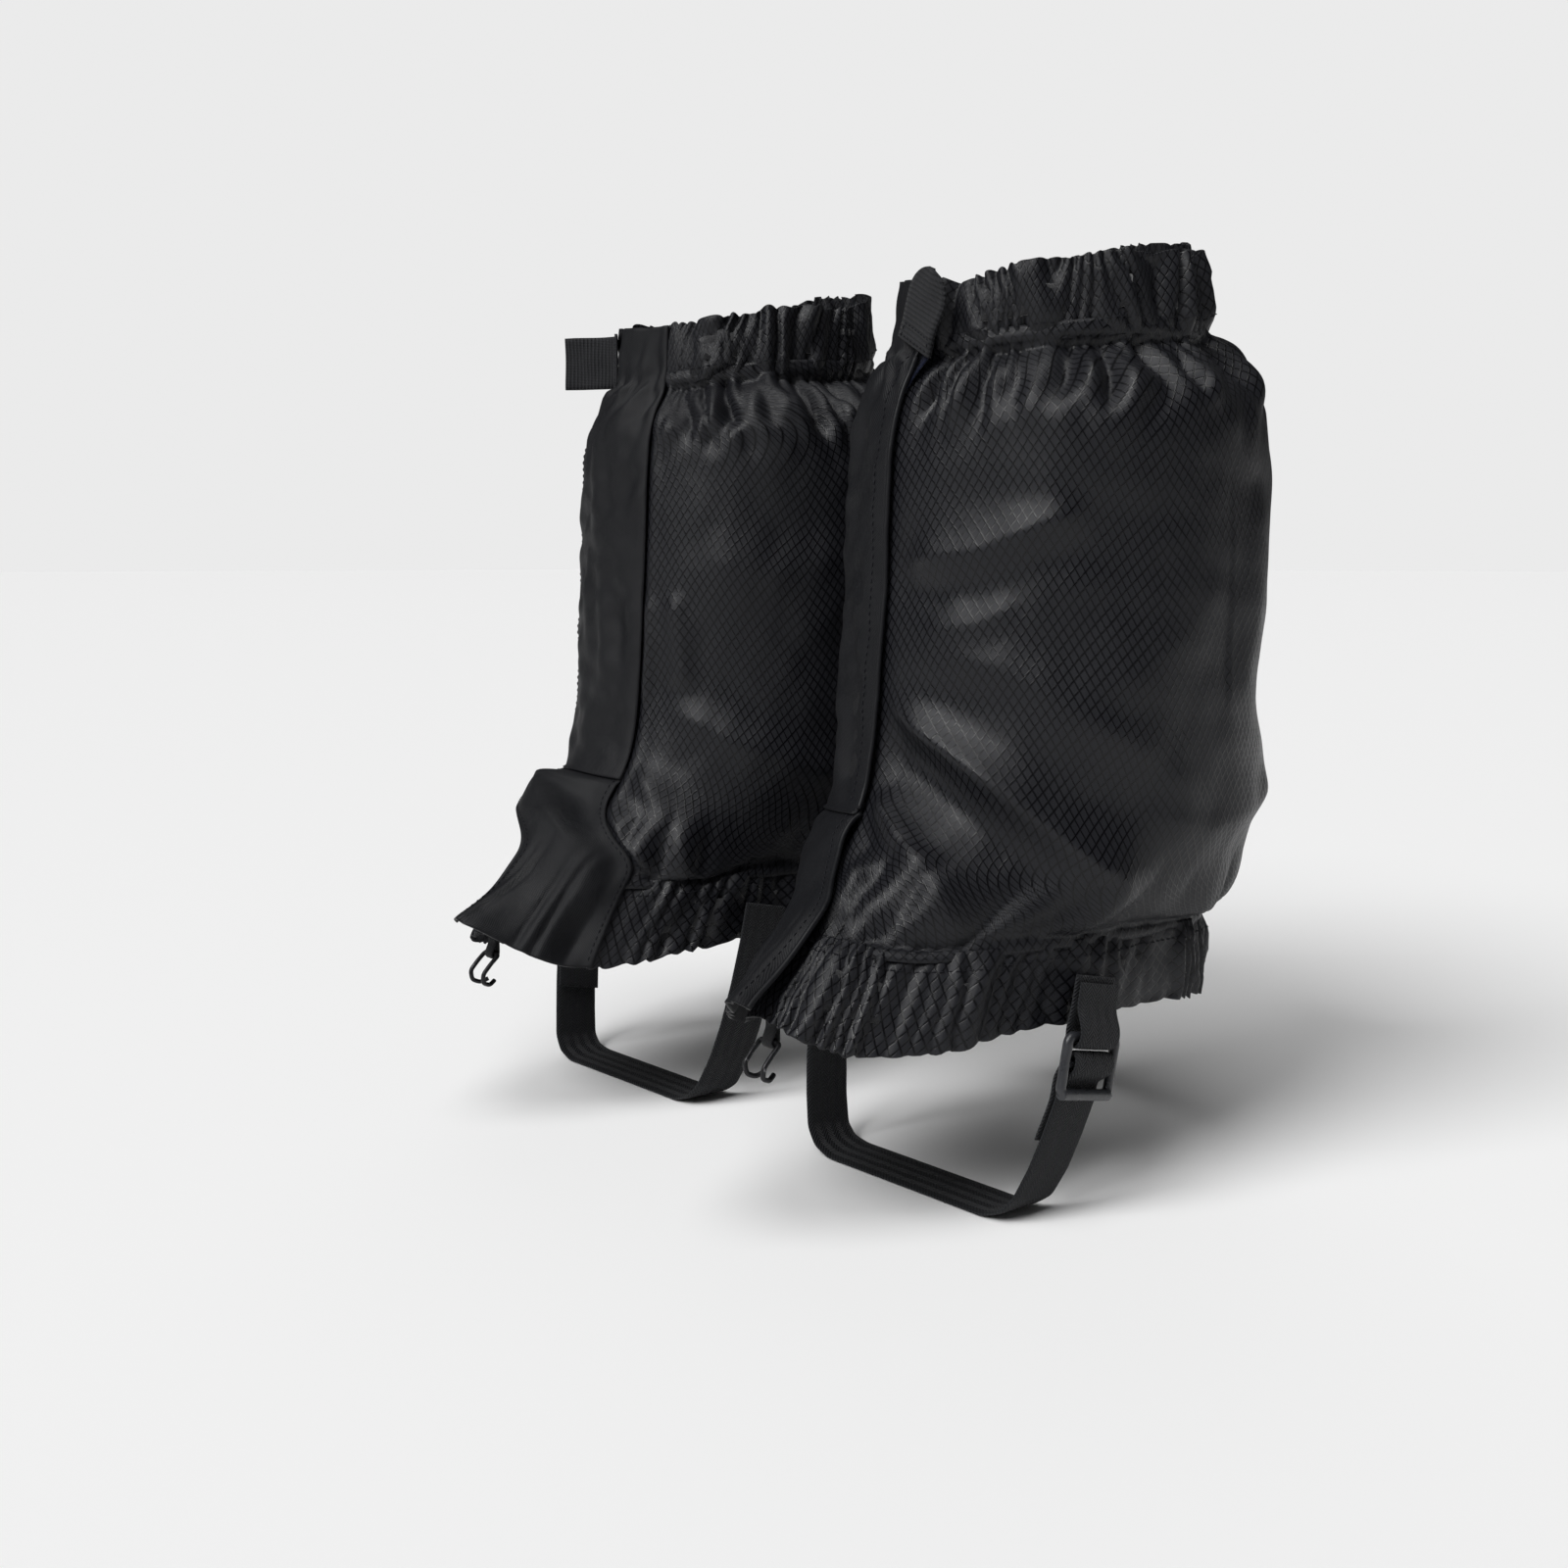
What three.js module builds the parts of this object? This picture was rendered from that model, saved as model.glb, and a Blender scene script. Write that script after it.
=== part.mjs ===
// A pair of short ripstop gaiters, shaped as they sit over a boot and the lower leg.
// Millimetres, +Z up, toes towards -Y, the left gaiter at +X. The origin lies between the two
// gaiters, level with the underside of the straps that pass beneath the boots.
import * as THREE from 'three';
import { mergeVertices } from 'three/addons/utils/BufferGeometryUtils.js';

// Driving dimensions
const HALF_SPACING = 75;            // from the middle plane to each leg's axis
const GAP = 0.35;                   // clearance kept between neighbouring pieces
const LAP_GAP = 0.85;               // clearance between the panel's lap and the tape over it
const CLOTH = 1.2;                  // thickness of a fabric layer with its coating and turnings
const TAPE = 0.8;                   // hook tape and loop tape
const WEBBING = 1.4;                // thickness of the webbing
const STRAP_WIDTH = 20;
const HEM_WALL = 0.8;
const HEM_INNER = -1;               // the casings stand this far inside the panel's inner face
const HEM_OUTER = 2.2;              // and this far outside it
const ELASTIC = 0.9;                // thickness of the flat elastic
const TAPE_WIDTH_SHARE = 0.8;       // share of the overlap that the tapes cover

// Outlines of the leg side of the fabric, one point per ring: bottom edge, top of the bottom hem,
// overhang, ankle, above the ankle, calf, shoulder, underside of the top hem, rim.
const FRONT = [
  [-134, 69], [-113, 91], [-99, 102], [-84, 115], [-73, 138], [-68, 190], [-64, 246], [-54, 264], [-52, 285],
];
const SIDE = [
  [53, 60], [53, 86], [59, 94], [65, 108], [68, 140], [68, 195], [66, 248], [49, 268], [46, 293],
];
const BACK = [
  [48, 56], [49, 80], [59, 91], [69, 106], [70, 140], [70, 198], [69, 260], [43, 285], [39, 310],
];
const HEM_TOP = 1;                  // ring at the top of the bottom hem
const FLAP_FOOT = 3.3;              // ring where the front flap ends and the instep flap starts
const COLLAR = 7;                   // ring at the underside of the top hem
const RIM = 8;                      // ring at the rim

// Angles round the leg, in degrees, from straight ahead (0) towards the outer side (+).
// The two gaiters are turned a little differently on the legs. Each one's tab is given by the angle and ring
// of its root, its tilt from level, the turn away from the leg at the root, its length and its bend radius.
const SEAM_LOW = -36;               // the flap's sewn edge at the instep
const LAP_LOW = -10;                // the panel's free edge at the instep, under the flap
const FREE_LOW = 3;                 // the flap's free edge at the instep
const SIDES = [
  {
    name: 'left', side: 1, seam: -63, lap: -33, free: -11,
    tab: { root: -20, ring: 7.15, tilt: 62, turn: 0, length: 25, bend: 62 },
  },
  {
    name: 'right', side: -1, seam: -9, lap: 21, free: 43,
    tab: { root: 36, ring: 7.55, tilt: 0, turn: 70, length: 25, bend: Infinity },
  },
];

const finish = (color, roughness, metalness = 0) => (
  new THREE.MeshStandardMaterial({ color, roughness, metalness })
);
const RIPSTOP = finish(0x17181c, 0.55);
const PLAIN_CLOTH = finish(0x1d1e22, 0.6);
const HOOK_AND_LOOP = finish(0x0c0f1e, 0.95);
const WEB = finish(0x14161d, 0.8);
const ELASTIC_FINISH = finish(0x101012, 0.9);
const MOULDED = finish(0x1a1b1f, 0.4);
const WIRE = finish(0x16171a, 0.35, 0.9);

const outline = (points) => new THREE.SplineCurve(points.map(([a, b]) => new THREE.Vector2(a, b)));
const frontLine = outline(FRONT);
const sideLine = outline(SIDE);
const backLine = outline(BACK);
const at = (line, ring) => line.getPoint(THREE.MathUtils.clamp(ring / RIM, 0, 1));

// Point of the leg-side surface at an angle and a ring: an oval; its front, side and back follow the outlines
function skin(angle, ring) {
  const a = THREE.MathUtils.degToRad(angle);
  const side = at(sideLine, ring);
  const end = at(Math.cos(a) > 0 ? frontLine : backLine, ring);
  const c = Math.cos(a);
  const height = side.y + (end.y - side.y) * c * c;
  return new THREE.Vector3(side.x * Math.sin(a), end.x * Math.abs(c), height);
}

// The same point moved along the surface's outward normal
function lifted(angle, ring, distance) {
  const r = THREE.MathUtils.clamp(ring, 0.02, RIM - 0.02);
  const round = skin(angle + 0.5, r).sub(skin(angle - 0.5, r));
  const up = skin(angle, r + 0.02).sub(skin(angle, r - 0.02));
  return skin(angle, ring).addScaledVector(round.cross(up).normalize(), distance);
}

const ease = (low, high, value) => THREE.MathUtils.smoothstep(value, low, high);
const along = (low, high, share) => low + (high - low) * share;
const seamAt = (g, ring) => along(SEAM_LOW, g.seam, ease(HEM_TOP, 3, ring));
const lapAt = (g, ring) => along(LAP_LOW, g.lap, ease(HEM_TOP, 3, ring));
const freeAt = (g, ring) => along(FREE_LOW, g.free, ease(HEM_TOP, 3, ring));

// Height of the flaps over the skin: level with the panel at the seam, above the tapes on the lap
function flapLift(g, angle, ring) {
  const onLap = ease(seamAt(g, ring) + 3, lapAt(g, ring) - 3, angle);
  const onHem = ring > FLAP_FOOT ? ease(COLLAR - 0.8, COLLAR - 0.3, ring) : 1;
  return onLap * (along(CLOTH, HEM_OUTER, onHem) + LAP_GAP + 2 * TAPE + 2 * GAP);
}

function meshOf(name, geometry, material) {
  const mesh = new THREE.Mesh(geometry, material);
  mesh.name = name;
  return mesh;
}

function geometryOf(points, faces, flip) {
  const geometry = new THREE.BufferGeometry();
  const corners = flip ? faces.map(([a, b, c]) => [a, c, b]) : faces;
  const flat = points.flatMap((p) => [p.x, p.y, p.z]);
  geometry.setAttribute('position', new THREE.Float32BufferAttribute(flat, 3));
  geometry.setIndex(corners.flat());
  return geometry;
}

const quad = (a, b, c, d) => [[a, b, c], [a, c, d]];

// A closed thin solid: place(s, t, layer) gives its point for s and t in 0..1 on layer 0 (inner) or 1 (outer)
function sheet(sCount, tCount, place, flip = false) {
  const points = [];
  const faces = [];
  const index = (i, j, layer) => ((layer * (sCount + 1) + i) * (tCount + 1)) + j;
  for (const layer of [0, 1]) {
    for (let i = 0; i <= sCount; i++) {
      for (let j = 0; j <= tCount; j++) points.push(place(i / sCount, j / tCount, layer));
    }
  }
  for (let i = 0; i < sCount; i++) {
    for (let j = 0; j < tCount; j++) {
      faces.push(...quad(index(i, j, 1), index(i + 1, j, 1), index(i + 1, j + 1, 1), index(i, j + 1, 1)));
      faces.push(...quad(index(i, j, 0), index(i, j + 1, 0), index(i + 1, j + 1, 0), index(i + 1, j, 0)));
    }
    faces.push(...quad(index(i, 0, 0), index(i + 1, 0, 0), index(i + 1, 0, 1), index(i, 0, 1)));
    const far = [index(i, tCount, 1), index(i + 1, tCount, 1), index(i + 1, tCount, 0), index(i, tCount, 0)];
    faces.push(...quad(...far));
  }
  for (let j = 0; j < tCount; j++) {
    const end = sCount;
    faces.push(...quad(index(0, j, 1), index(0, j + 1, 1), index(0, j + 1, 0), index(0, j, 0)));
    faces.push(...quad(index(end, j, 0), index(end, j + 1, 0), index(end, j + 1, 1), index(end, j, 1)));
  }
  return geometryOf(points, faces, flip);
}

// A channel with open ends: corner(s, k, ring) is corner k of its outer (ring 0) or inner (ring 1) section
function channel(count, corner, flip) {
  const points = [];
  const faces = [];
  const index = (i, k, ring) => (i * 2 + ring) * 4 + (k % 4);
  for (let i = 0; i <= count; i++) {
    for (const ring of [0, 1]) {
      for (let k = 0; k < 4; k++) points.push(corner(i / count, k, ring));
    }
  }
  for (let k = 0; k < 4; k++) {
    for (let i = 0; i < count; i++) {
      // both broad walls are split along the same diagonal, so the band inside lies parallel to them
      const sides = [[i, k], [i + 1, k], [i + 1, k + 1], [i, k + 1]];
      if (k === 2) sides.push(sides.shift());
      faces.push(...quad(...sides.map(([step, turn]) => index(step, turn, 0))));
      const inward = [sides[0], sides[3], sides[2], sides[1]];
      faces.push(...quad(...inward.map(([step, turn]) => index(step, turn, 1))));
    }
    faces.push(...quad(index(0, k, 0), index(0, k + 1, 0), index(0, k + 1, 1), index(0, k, 1)));
    const end = [index(count, k, 1), index(count, k + 1, 1), index(count, k + 1, 0), index(count, k, 0)];
    faces.push(...quad(...end));
  }
  return geometryOf(points, faces, flip);
}

// A flat strap along hand-set points [x, y, z, lean]: lean turns its width from Y towards Z, in degrees
function strap(route, width, thickness) {
  const centres = route.map(([x, y, z]) => new THREE.Vector3(x, y, z));
  const frames = centres.map((point, i) => {
    const before = centres[Math.max(i - 1, 0)];
    const after = centres[Math.min(i + 1, centres.length - 1)];
    const lean = THREE.MathUtils.degToRad(route[i][3] ?? 0);
    const across = new THREE.Vector3(0, Math.cos(lean), Math.sin(lean));
    const way = after.clone().sub(before).normalize();
    return { point, across, normal: across.clone().cross(way).normalize() };
  });
  const last = frames.length - 1;
  return sheet(1, last, (s, t, layer) => {
    const { point, across, normal } = frames[Math.round(t * last)];
    const beside = point.clone().addScaledVector(across, (s - 0.5) * width);
    return beside.addScaledVector(normal, (layer - 0.5) * thickness);
  });
}

function welded(geometry) {
  geometry.deleteAttribute('normal');
  geometry.deleteAttribute('uv');
  return mergeVertices(geometry);
}

// Round cord or wire along a curve
function rod(curve, radius, steps) {
  const section = new THREE.Shape().absarc(0, 0, radius, 0, 2 * Math.PI, false);
  return welded(new THREE.ExtrudeGeometry(section, { steps, extrudePath: curve, curveSegments: 4 }));
}

const curveThrough = (points) => new THREE.CatmullRomCurve3(points, false, 'centripetal');
const mirrored = (g, point) => new THREE.Vector3(g.side * point.x, point.y, point.z);

// A sheet laid on the gaiter between two edges given as functions of the ring
function layer(g, counts, rings, edges, lift, thickness) {
  return sheet(counts[0], counts[1], (s, t, outer) => {
    const ring = along(rings[0], rings[1], t);
    const angle = along(edges[0](ring), edges[1](ring), s);
    return mirrored(g, lifted(angle, ring, lift(angle, ring) + outer * thickness));
  }, g.side < 0);
}

const SEAM_GAP = 0.9;               // degrees left open at the sewn edge
const fullTurn = (g) => (ring) => 360 + seamAt(g, ring) - SEAM_GAP;

function panel(g) {
  const rings = [HEM_TOP + 0.04, COLLAR - 0.02];
  const edges = [(ring) => lapAt(g, ring), fullTurn(g)];
  return meshOf(`${g.name}_panel`, layer(g, [28, 11], rings, edges, () => 0, CLOTH), RIPSTOP);
}

// Point of a hem's band, straight between its lower and upper rings: share is the height within it
function bandPoint(g, rings, s, share, lift) {
  const [low, high] = rings.map((ring) => lifted(along(lapAt(g, ring), fullTurn(g)(ring), s), ring, lift));
  return mirrored(g, low.lerp(high, share));
}

const BAND_STEPS = 30;

// A hem casing: a flat hollow band, open at both ends
function casing(g, label, rings) {
  const rim = HEM_WALL / 26;        // the wall as a share of the band's height
  const geometry = channel(BAND_STEPS, (s, k, inner) => {
    const share = k === 1 || k === 2 ? 1 - inner * rim : inner * rim;
    const lift = k < 2 ? HEM_OUTER - inner * HEM_WALL : HEM_INNER + inner * HEM_WALL;
    return bandPoint(g, rings, s, share, lift);
  }, g.side < 0);
  return meshOf(`${g.name}_${label}_hem`, geometry, RIPSTOP);
}

function elastic(g, label, rings) {
  const inset = 0.12;               // share of the band's height left free above and below
  const middle = (HEM_INNER + HEM_OUTER) / 2;
  const geometry = sheet(BAND_STEPS, 1, (s, t, outer) => (
    bandPoint(g, rings, s, along(inset, 1 - inset, t), middle + (outer - 0.5) * ELASTIC)
  ), g.side < 0);
  return meshOf(`${g.name}_${label}_elastic`, geometry, ELASTIC_FINISH);
}

const TAPE_TOP = RIM - 0.25;        // the tapes stop a little under the rim

// Base of the tapes: over the panel, and over the thicker casing at the top
const lapBase = (ring) => along(CLOTH, HEM_OUTER, ease(COLLAR - 0.8, COLLAR - 0.3, ring)) + LAP_GAP;

function loopTape(g) {
  const wider = g.side > 0 ? 8 : 0; // the left one shows past the flap near the top
  const edges = [
    (ring) => lapAt(g, ring) + 1,
    (ring) => along(lapAt(g, ring), freeAt(g, ring), TAPE_WIDTH_SHARE) + wider * ease(5.5, 7, ring),
  ];
  const geometry = layer(g, [4, 12], [FLAP_FOOT + 0.1, TAPE_TOP], edges, (a, ring) => lapBase(ring), TAPE);
  return meshOf(`${g.name}_loop_tape`, geometry, HOOK_AND_LOOP);
}

function hookTape(g) {
  const edges = [
    (ring) => lapAt(g, ring) + 1.5,
    (ring) => along(lapAt(g, ring), freeAt(g, ring), TAPE_WIDTH_SHARE),
  ];
  const base = (angle, ring) => lapBase(ring) + TAPE + GAP;
  const geometry = layer(g, [4, 12], [FLAP_FOOT + 0.1, TAPE_TOP], edges, base, TAPE);
  return meshOf(`${g.name}_hook_tape`, geometry, HOOK_AND_LOOP);
}

function frontFlap(g) {
  const edges = [(ring) => seamAt(g, ring) + SEAM_GAP, (ring) => freeAt(g, ring)];
  const geometry = layer(g, [10, 14], [FLAP_FOOT, RIM], edges, (a, ring) => flapLift(g, a, ring), CLOTH);
  return meshOf(`${g.name}_front_flap`, geometry, PLAIN_CLOTH);
}

const BINDING_RADIUS = 0.9;

function binding(g) {
  const count = 10;
  const points = [];
  for (let i = 0; i <= count; i++) {
    const ring = along(FLAP_FOOT + 0.05, COLLAR - 0.15, i / count);
    const angle = freeAt(g, ring) + 1.15;
    points.push(mirrored(g, lifted(angle, ring, flapLift(g, freeAt(g, ring), ring) + CLOTH / 2)));
  }
  return meshOf(`${g.name}_flap_binding`, rod(curveThrough(points), BINDING_RADIUS, 20), PLAIN_CLOTH);
}

const TIP_FORWARD = 9;
const TIP_RISE = 5;

// The lower flap over the boot's instep: the surface's front drawn out into a point over the laces
function instepFlap(g) {
  const rings = [0, FLAP_FOOT - 0.06];
  const edge = [(ring) => seamAt(g, ring) + SEAM_GAP, (ring) => freeAt(g, ring)];
  const geometry = sheet(10, 9, (s, t, outer) => {
    const ring = along(rings[0], rings[1], t);
    const angle = along(edge[0](ring), edge[1](ring), s);
    const point = lifted(angle, ring, flapLift(g, angle, ring) + outer * CLOTH);
    const pull = Math.exp(-((angle + 2) ** 2) / 60) * (1 - ease(0, 0.9, ring));
    point.y -= TIP_FORWARD * pull;
    point.z += TIP_RISE * pull;
    return mirrored(g, point);
  }, g.side < 0);
  return meshOf(`${g.name}_instep_flap`, geometry, PLAIN_CLOTH);
}

// The tab that closes the top: a short strip from the flap's free edge, with a hook pad beneath
const TAB_WIDTH = 20;

function tabFrame(g) {
  const lift = HEM_OUTER + 2 * LAP_GAP + 2 * (TAPE + GAP) + CLOTH + 2 * TAPE;
  const [angle, ring] = [g.tab.root, g.tab.ring];
  const root = lifted(angle, ring, lift);
  const round = lifted(angle + 0.5, ring, lift).sub(lifted(angle - 0.5, ring, lift)).setZ(0).normalize();
  const out = round.clone().cross(new THREE.Vector3(0, 0, 1)).normalize();
  return { root, round, out };
}

// Point of the tab at a distance from its root and across its width, raised off its inner face
function tabPoint(g, frame, run, across, raise) {
  const tilt = THREE.MathUtils.degToRad(g.tab.tilt);
  const level = run * Math.cos(tilt) - across * Math.sin(tilt);
  const rise = run * Math.sin(tilt) + across * Math.cos(tilt);
  const { bend } = g.tab;
  const curls = Number.isFinite(bend);
  const turn = THREE.MathUtils.degToRad(g.tab.turn);
  const forward = curls ? (bend + raise) * Math.sin(level / bend) : level;
  const outward = curls ? (bend + raise) * Math.cos(level / bend) - bend : raise;
  const point = frame.root.clone();
  point.addScaledVector(frame.round, forward * Math.cos(turn) - outward * Math.sin(turn));
  point.addScaledVector(frame.out, forward * Math.sin(turn) + outward * Math.cos(turn));
  point.z += rise;
  return mirrored(g, point);
}

function tabSheet(g, length, width, base, thickness) {
  const frame = tabFrame(g);
  const roundEnd = Number.isFinite(g.tab.bend);
  return sheet(10, 4, (s, t, outer) => {
    const run = length * s;
    const left = Math.max(0, run - (length - width / 2)) / (width / 2);
    const half = (width / 2) * (roundEnd ? Math.sqrt(Math.max(0.04, 1 - left * left)) : 1);
    return tabPoint(g, frame, run, (2 * t - 1) * half, base + outer * thickness);
  }, g.side < 0);
}

function topTab(g) {
  const strip = meshOf(`${g.name}_top_tab`, tabSheet(g, g.tab.length, TAB_WIDTH, 0, CLOTH), WEB);
  const pad = tabSheet(g, g.tab.length - 6, TAB_WIDTH - 4, -GAP - TAPE / 2, TAPE / 2);
  return [strip, meshOf(`${g.name}_tab_hook_pad`, pad, HOOK_AND_LOOP)];
}

// Stirrup: built hanging straight down from its stitching, then leaned forward
const PIVOT_Y = -48;                // where the webbing is stitched to the bottom hem
const PIVOT_Z = 67;
const LEAN = 13;                    // degrees forward from hanging straight down
const WEB_X = 54.8;                 // middle of the webbing beside the hem
const BAR = { x: 57.2, z: 57.6 };   // the buckle's top bar
const BAR_HALF = 1.4;

// Point of the stirrup given as it hangs straight down, turned forward about its stitching
function leaned(x, z) {
  const lean = THREE.MathUtils.degToRad(LEAN);
  const drop = PIVOT_Z - z;
  return [x, PIVOT_Y - drop * Math.sin(lean), PIVOT_Z - drop * Math.cos(lean), -LEAN];
}

const webbing = (name, points) => meshOf(name, strap(points, STRAP_WIDTH, WEBBING), WEB);

function buckleLoop(g) {
  const wrap = BAR_HALF + 0.8 + WEBBING / 2;
  const route = [[WEB_X, 76], [WEB_X, 66], [BAR.x - wrap, 60.5], [BAR.x - wrap, BAR.z]];
  for (const turn of [45, 90, 135]) {
    const a = THREE.MathUtils.degToRad(turn);
    route.push([BAR.x - wrap * Math.cos(a), BAR.z - wrap * Math.sin(a)]);
  }
  route.push([BAR.x + wrap, BAR.z], [BAR.x + wrap - 0.4, 60.5], [WEB_X + 2.2, 66], [WEB_X + 2, 74]);
  const points = route.map(([x, z]) => leaned(g.side * x, z));
  return webbing(`${g.name}_buckle_loop`, g.side > 0 ? points : points.reverse());
}

const BUCKLE = { width: 27, height: 20.4, depth: 2.8, corner: 2.5, slotWidth: 21.4, slot: 5.6 };

// Ladder-lock buckle: a flat frame with two slots, its top bar at the origin of its own drawing
function buckle(g) {
  const { width, height, depth, corner, slotWidth, slot } = BUCKLE;
  const top = BAR_HALF;
  const shape = new THREE.Shape();
  const w = width / 2;
  const low = top - height;
  shape.moveTo(-w + corner, low).lineTo(w - corner, low);
  shape.absarc(w - corner, low + corner, corner, -Math.PI / 2, 0);
  shape.lineTo(w, top - corner).absarc(w - corner, top - corner, corner, 0, Math.PI / 2);
  shape.lineTo(-w + corner, top).absarc(-w + corner, top - corner, corner, Math.PI / 2, Math.PI);
  shape.lineTo(-w, low + corner).absarc(-w + corner, low + corner, corner, Math.PI, 1.5 * Math.PI);
  for (const slotTop of [-BAR_HALF, -BAR_HALF - slot - 2 * BAR_HALF]) {
    const hole = new THREE.Path();
    hole.moveTo(-slotWidth / 2, slotTop).lineTo(slotWidth / 2, slotTop);
    hole.lineTo(slotWidth / 2, slotTop - slot).lineTo(-slotWidth / 2, slotTop - slot).closePath();
    shape.holes.push(hole);
  }
  const plate = new THREE.ExtrudeGeometry(shape, { depth, bevelEnabled: false, curveSegments: 4 });
  const mesh = meshOf(`${g.name}_buckle`, welded(plate.translate(0, 0, -depth / 2)), MOULDED);
  const lean = new THREE.Group();
  const turned = new THREE.Group();
  turned.rotation.set(0, Math.PI / 2, Math.PI / 2);
  turned.position.set(g.side * BAR.x, 0, BAR.z - PIVOT_Z);
  turned.add(mesh);
  lean.position.set(0, PIVOT_Y, PIVOT_Z);
  lean.rotation.x = -THREE.MathUtils.degToRad(LEAN);
  lean.add(turned);
  return lean;
}

const STRAP_X = BAR.x - 2.8;        // the strap where it comes up behind the buckle
const TAIL_X = STRAP_X - 1.9;       // the tail runs down on the boot's side of the strap
const JOIN_Z = 37.6;                // where the threaded part meets the long strap

// The strap's end where it goes up behind the lowest bar, out over the middle bar and back down
function threading(g) {
  const barZ = BAR.z - 2 * BAR_HALF - BUCKLE.slot;
  const over = BAR_HALF + 0.4 + WEBBING / 2;
  const corner = 0.86 * over;       // the webbing stands off the square bar's corners
  const route = [
    [STRAP_X, JOIN_Z], [STRAP_X, barZ - 5.6], [STRAP_X + 2.3, barZ - 4], [BAR.x + 2.1, barZ - 2.2],
    [BAR.x + over, barZ], [BAR.x + corner, barZ + corner], [BAR.x, barZ + over],
    [BAR.x - corner, barZ + corner], [BAR.x - over - 0.2, barZ], [TAIL_X, barZ - 4.6], [TAIL_X, JOIN_Z],
  ];
  const points = route.map(([x, z]) => leaned(g.side * x, z));
  return webbing(`${g.name}_strap_threading`, g.side > 0 ? points : points.reverse());
}

function strapTail(g) {
  const route = [[TAIL_X, JOIN_Z - 0.5], [TAIL_X - 1.5, 31], [TAIL_X - 3.3, 24]];
  const points = route.map(([x, z]) => leaned(g.side * x, z));
  return webbing(`${g.name}_strap_tail`, g.side > 0 ? points : points.reverse());
}

const SOLE_Y = -64;                 // the strap under the boot's arch
const SOLE_HALF = 34;               // half of its flat run

function instepStrap(g) {
  const z = WEBBING / 2;
  const inner = [[WEB_X, 75], [WEB_X, 60], [WEB_X - 1, 44], [WEB_X - 3, 28], [WEB_X - 6, 15]];
  const down = inner.map(([x, h]) => leaned(-x, h));
  const under = [[-45, SOLE_Y + 1.5, 6.6, -9], [-40.5, SOLE_Y + 0.4, 2.4, -4], [-SOLE_HALF, SOLE_Y, z, 0]];
  const rise = [[SOLE_HALF, SOLE_Y, z, 0], [40.5, SOLE_Y + 0.4, 2.4, -4], [45, SOLE_Y + 1.5, 6.6, -9]];
  const up = [[WEB_X - 6, 15], [WEB_X - 3, 26], [STRAP_X, JOIN_Z - 1]].map(([x, h]) => leaned(x, h));
  const points = [...down, ...under, ...rise, ...up].map(([x, ...rest]) => [g.side * x, ...rest]);
  return webbing(`${g.name}_instep_strap`, g.side > 0 ? points.reverse() : points);
}

// Lace hook: a bent wire on a narrow webbing loop inside the point of the instep flap
const HOOK_PIVOT = { y: -131, z: 60.5 };
const WIRE_RADIUS = 0.8;

function laceHook(g) {
  const half = 4.2;
  const side = [
    [half, 0, 0], [half, -3.2, -2.6], [half, -6.6, -6], [3.6, -6.4, -9.4], [3, -3.2, -10.8], [2, -0.6, -9.6],
  ];
  const bar = [[0.5, 0, 0], [2.6, 0, 0]];
  const point = ([x, y, z]) => new THREE.Vector3(x, HOOK_PIVOT.y + y, HOOK_PIVOT.z + z);
  const right = [...bar, ...side];
  const left = right.map(([x, y, z]) => [-x, y, z]).reverse();
  const curve = curveThrough([...right, ...left].map(point));
  return meshOf(`${g.name}_lace_hook`, rod(curve, WIRE_RADIUS, 40), WIRE);
}

function hookLoop(g) {
  const wrap = WIRE_RADIUS + 0.35 + 0.5;
  const { y, z } = HOOK_PIVOT;
  const section = [[y + wrap, z + 9], [y + wrap, z]];
  for (const turn of [45, 90, 135]) {
    const a = THREE.MathUtils.degToRad(turn);
    section.push([y + wrap * Math.cos(a), z - wrap * Math.sin(a)]);
  }
  section.push([y - wrap, z], [y + wrap - 1.35, z + 4], [y + wrap - 1.3, z + 8]);
  const last = section.length - 1;
  const geometry = sheet(1, last, (s, t, outer) => {
    const i = Math.round(t * last);
    const before = section[Math.max(i - 1, 0)];
    const after = section[Math.min(i + 1, last)];
    const way = new THREE.Vector2(after[0] - before[0], after[1] - before[1]).normalize();
    const raise = outer - 0.5;
    return new THREE.Vector3((s - 0.5) * 4.6, section[i][0] + way.y * raise, section[i][1] - way.x * raise);
  }, true);
  return meshOf(`${g.name}_hook_loop`, geometry, WEB);
}

function gaiter(g) {
  const group = new THREE.Group();
  group.position.x = g.side * HALF_SPACING;
  group.add(panel(g));
  group.add(casing(g, 'top', [COLLAR, RIM]), elastic(g, 'top', [COLLAR, RIM]));
  group.add(casing(g, 'bottom', [0, HEM_TOP]), elastic(g, 'bottom', [0, HEM_TOP]));
  group.add(loopTape(g), hookTape(g), frontFlap(g), binding(g), instepFlap(g), ...topTab(g));
  group.add(buckleLoop(g), buckle(g), threading(g), strapTail(g), instepStrap(g));
  group.add(laceHook(g), hookLoop(g));
  return group;
}

const pair = new THREE.Group();
SIDES.forEach((g) => pair.add(gaiter(g)));

export default pair;
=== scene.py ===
"""A pair of short ripstop gaiters in their worn shape: leg cloth, closing flap, tabs and straps."""
import math

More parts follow.
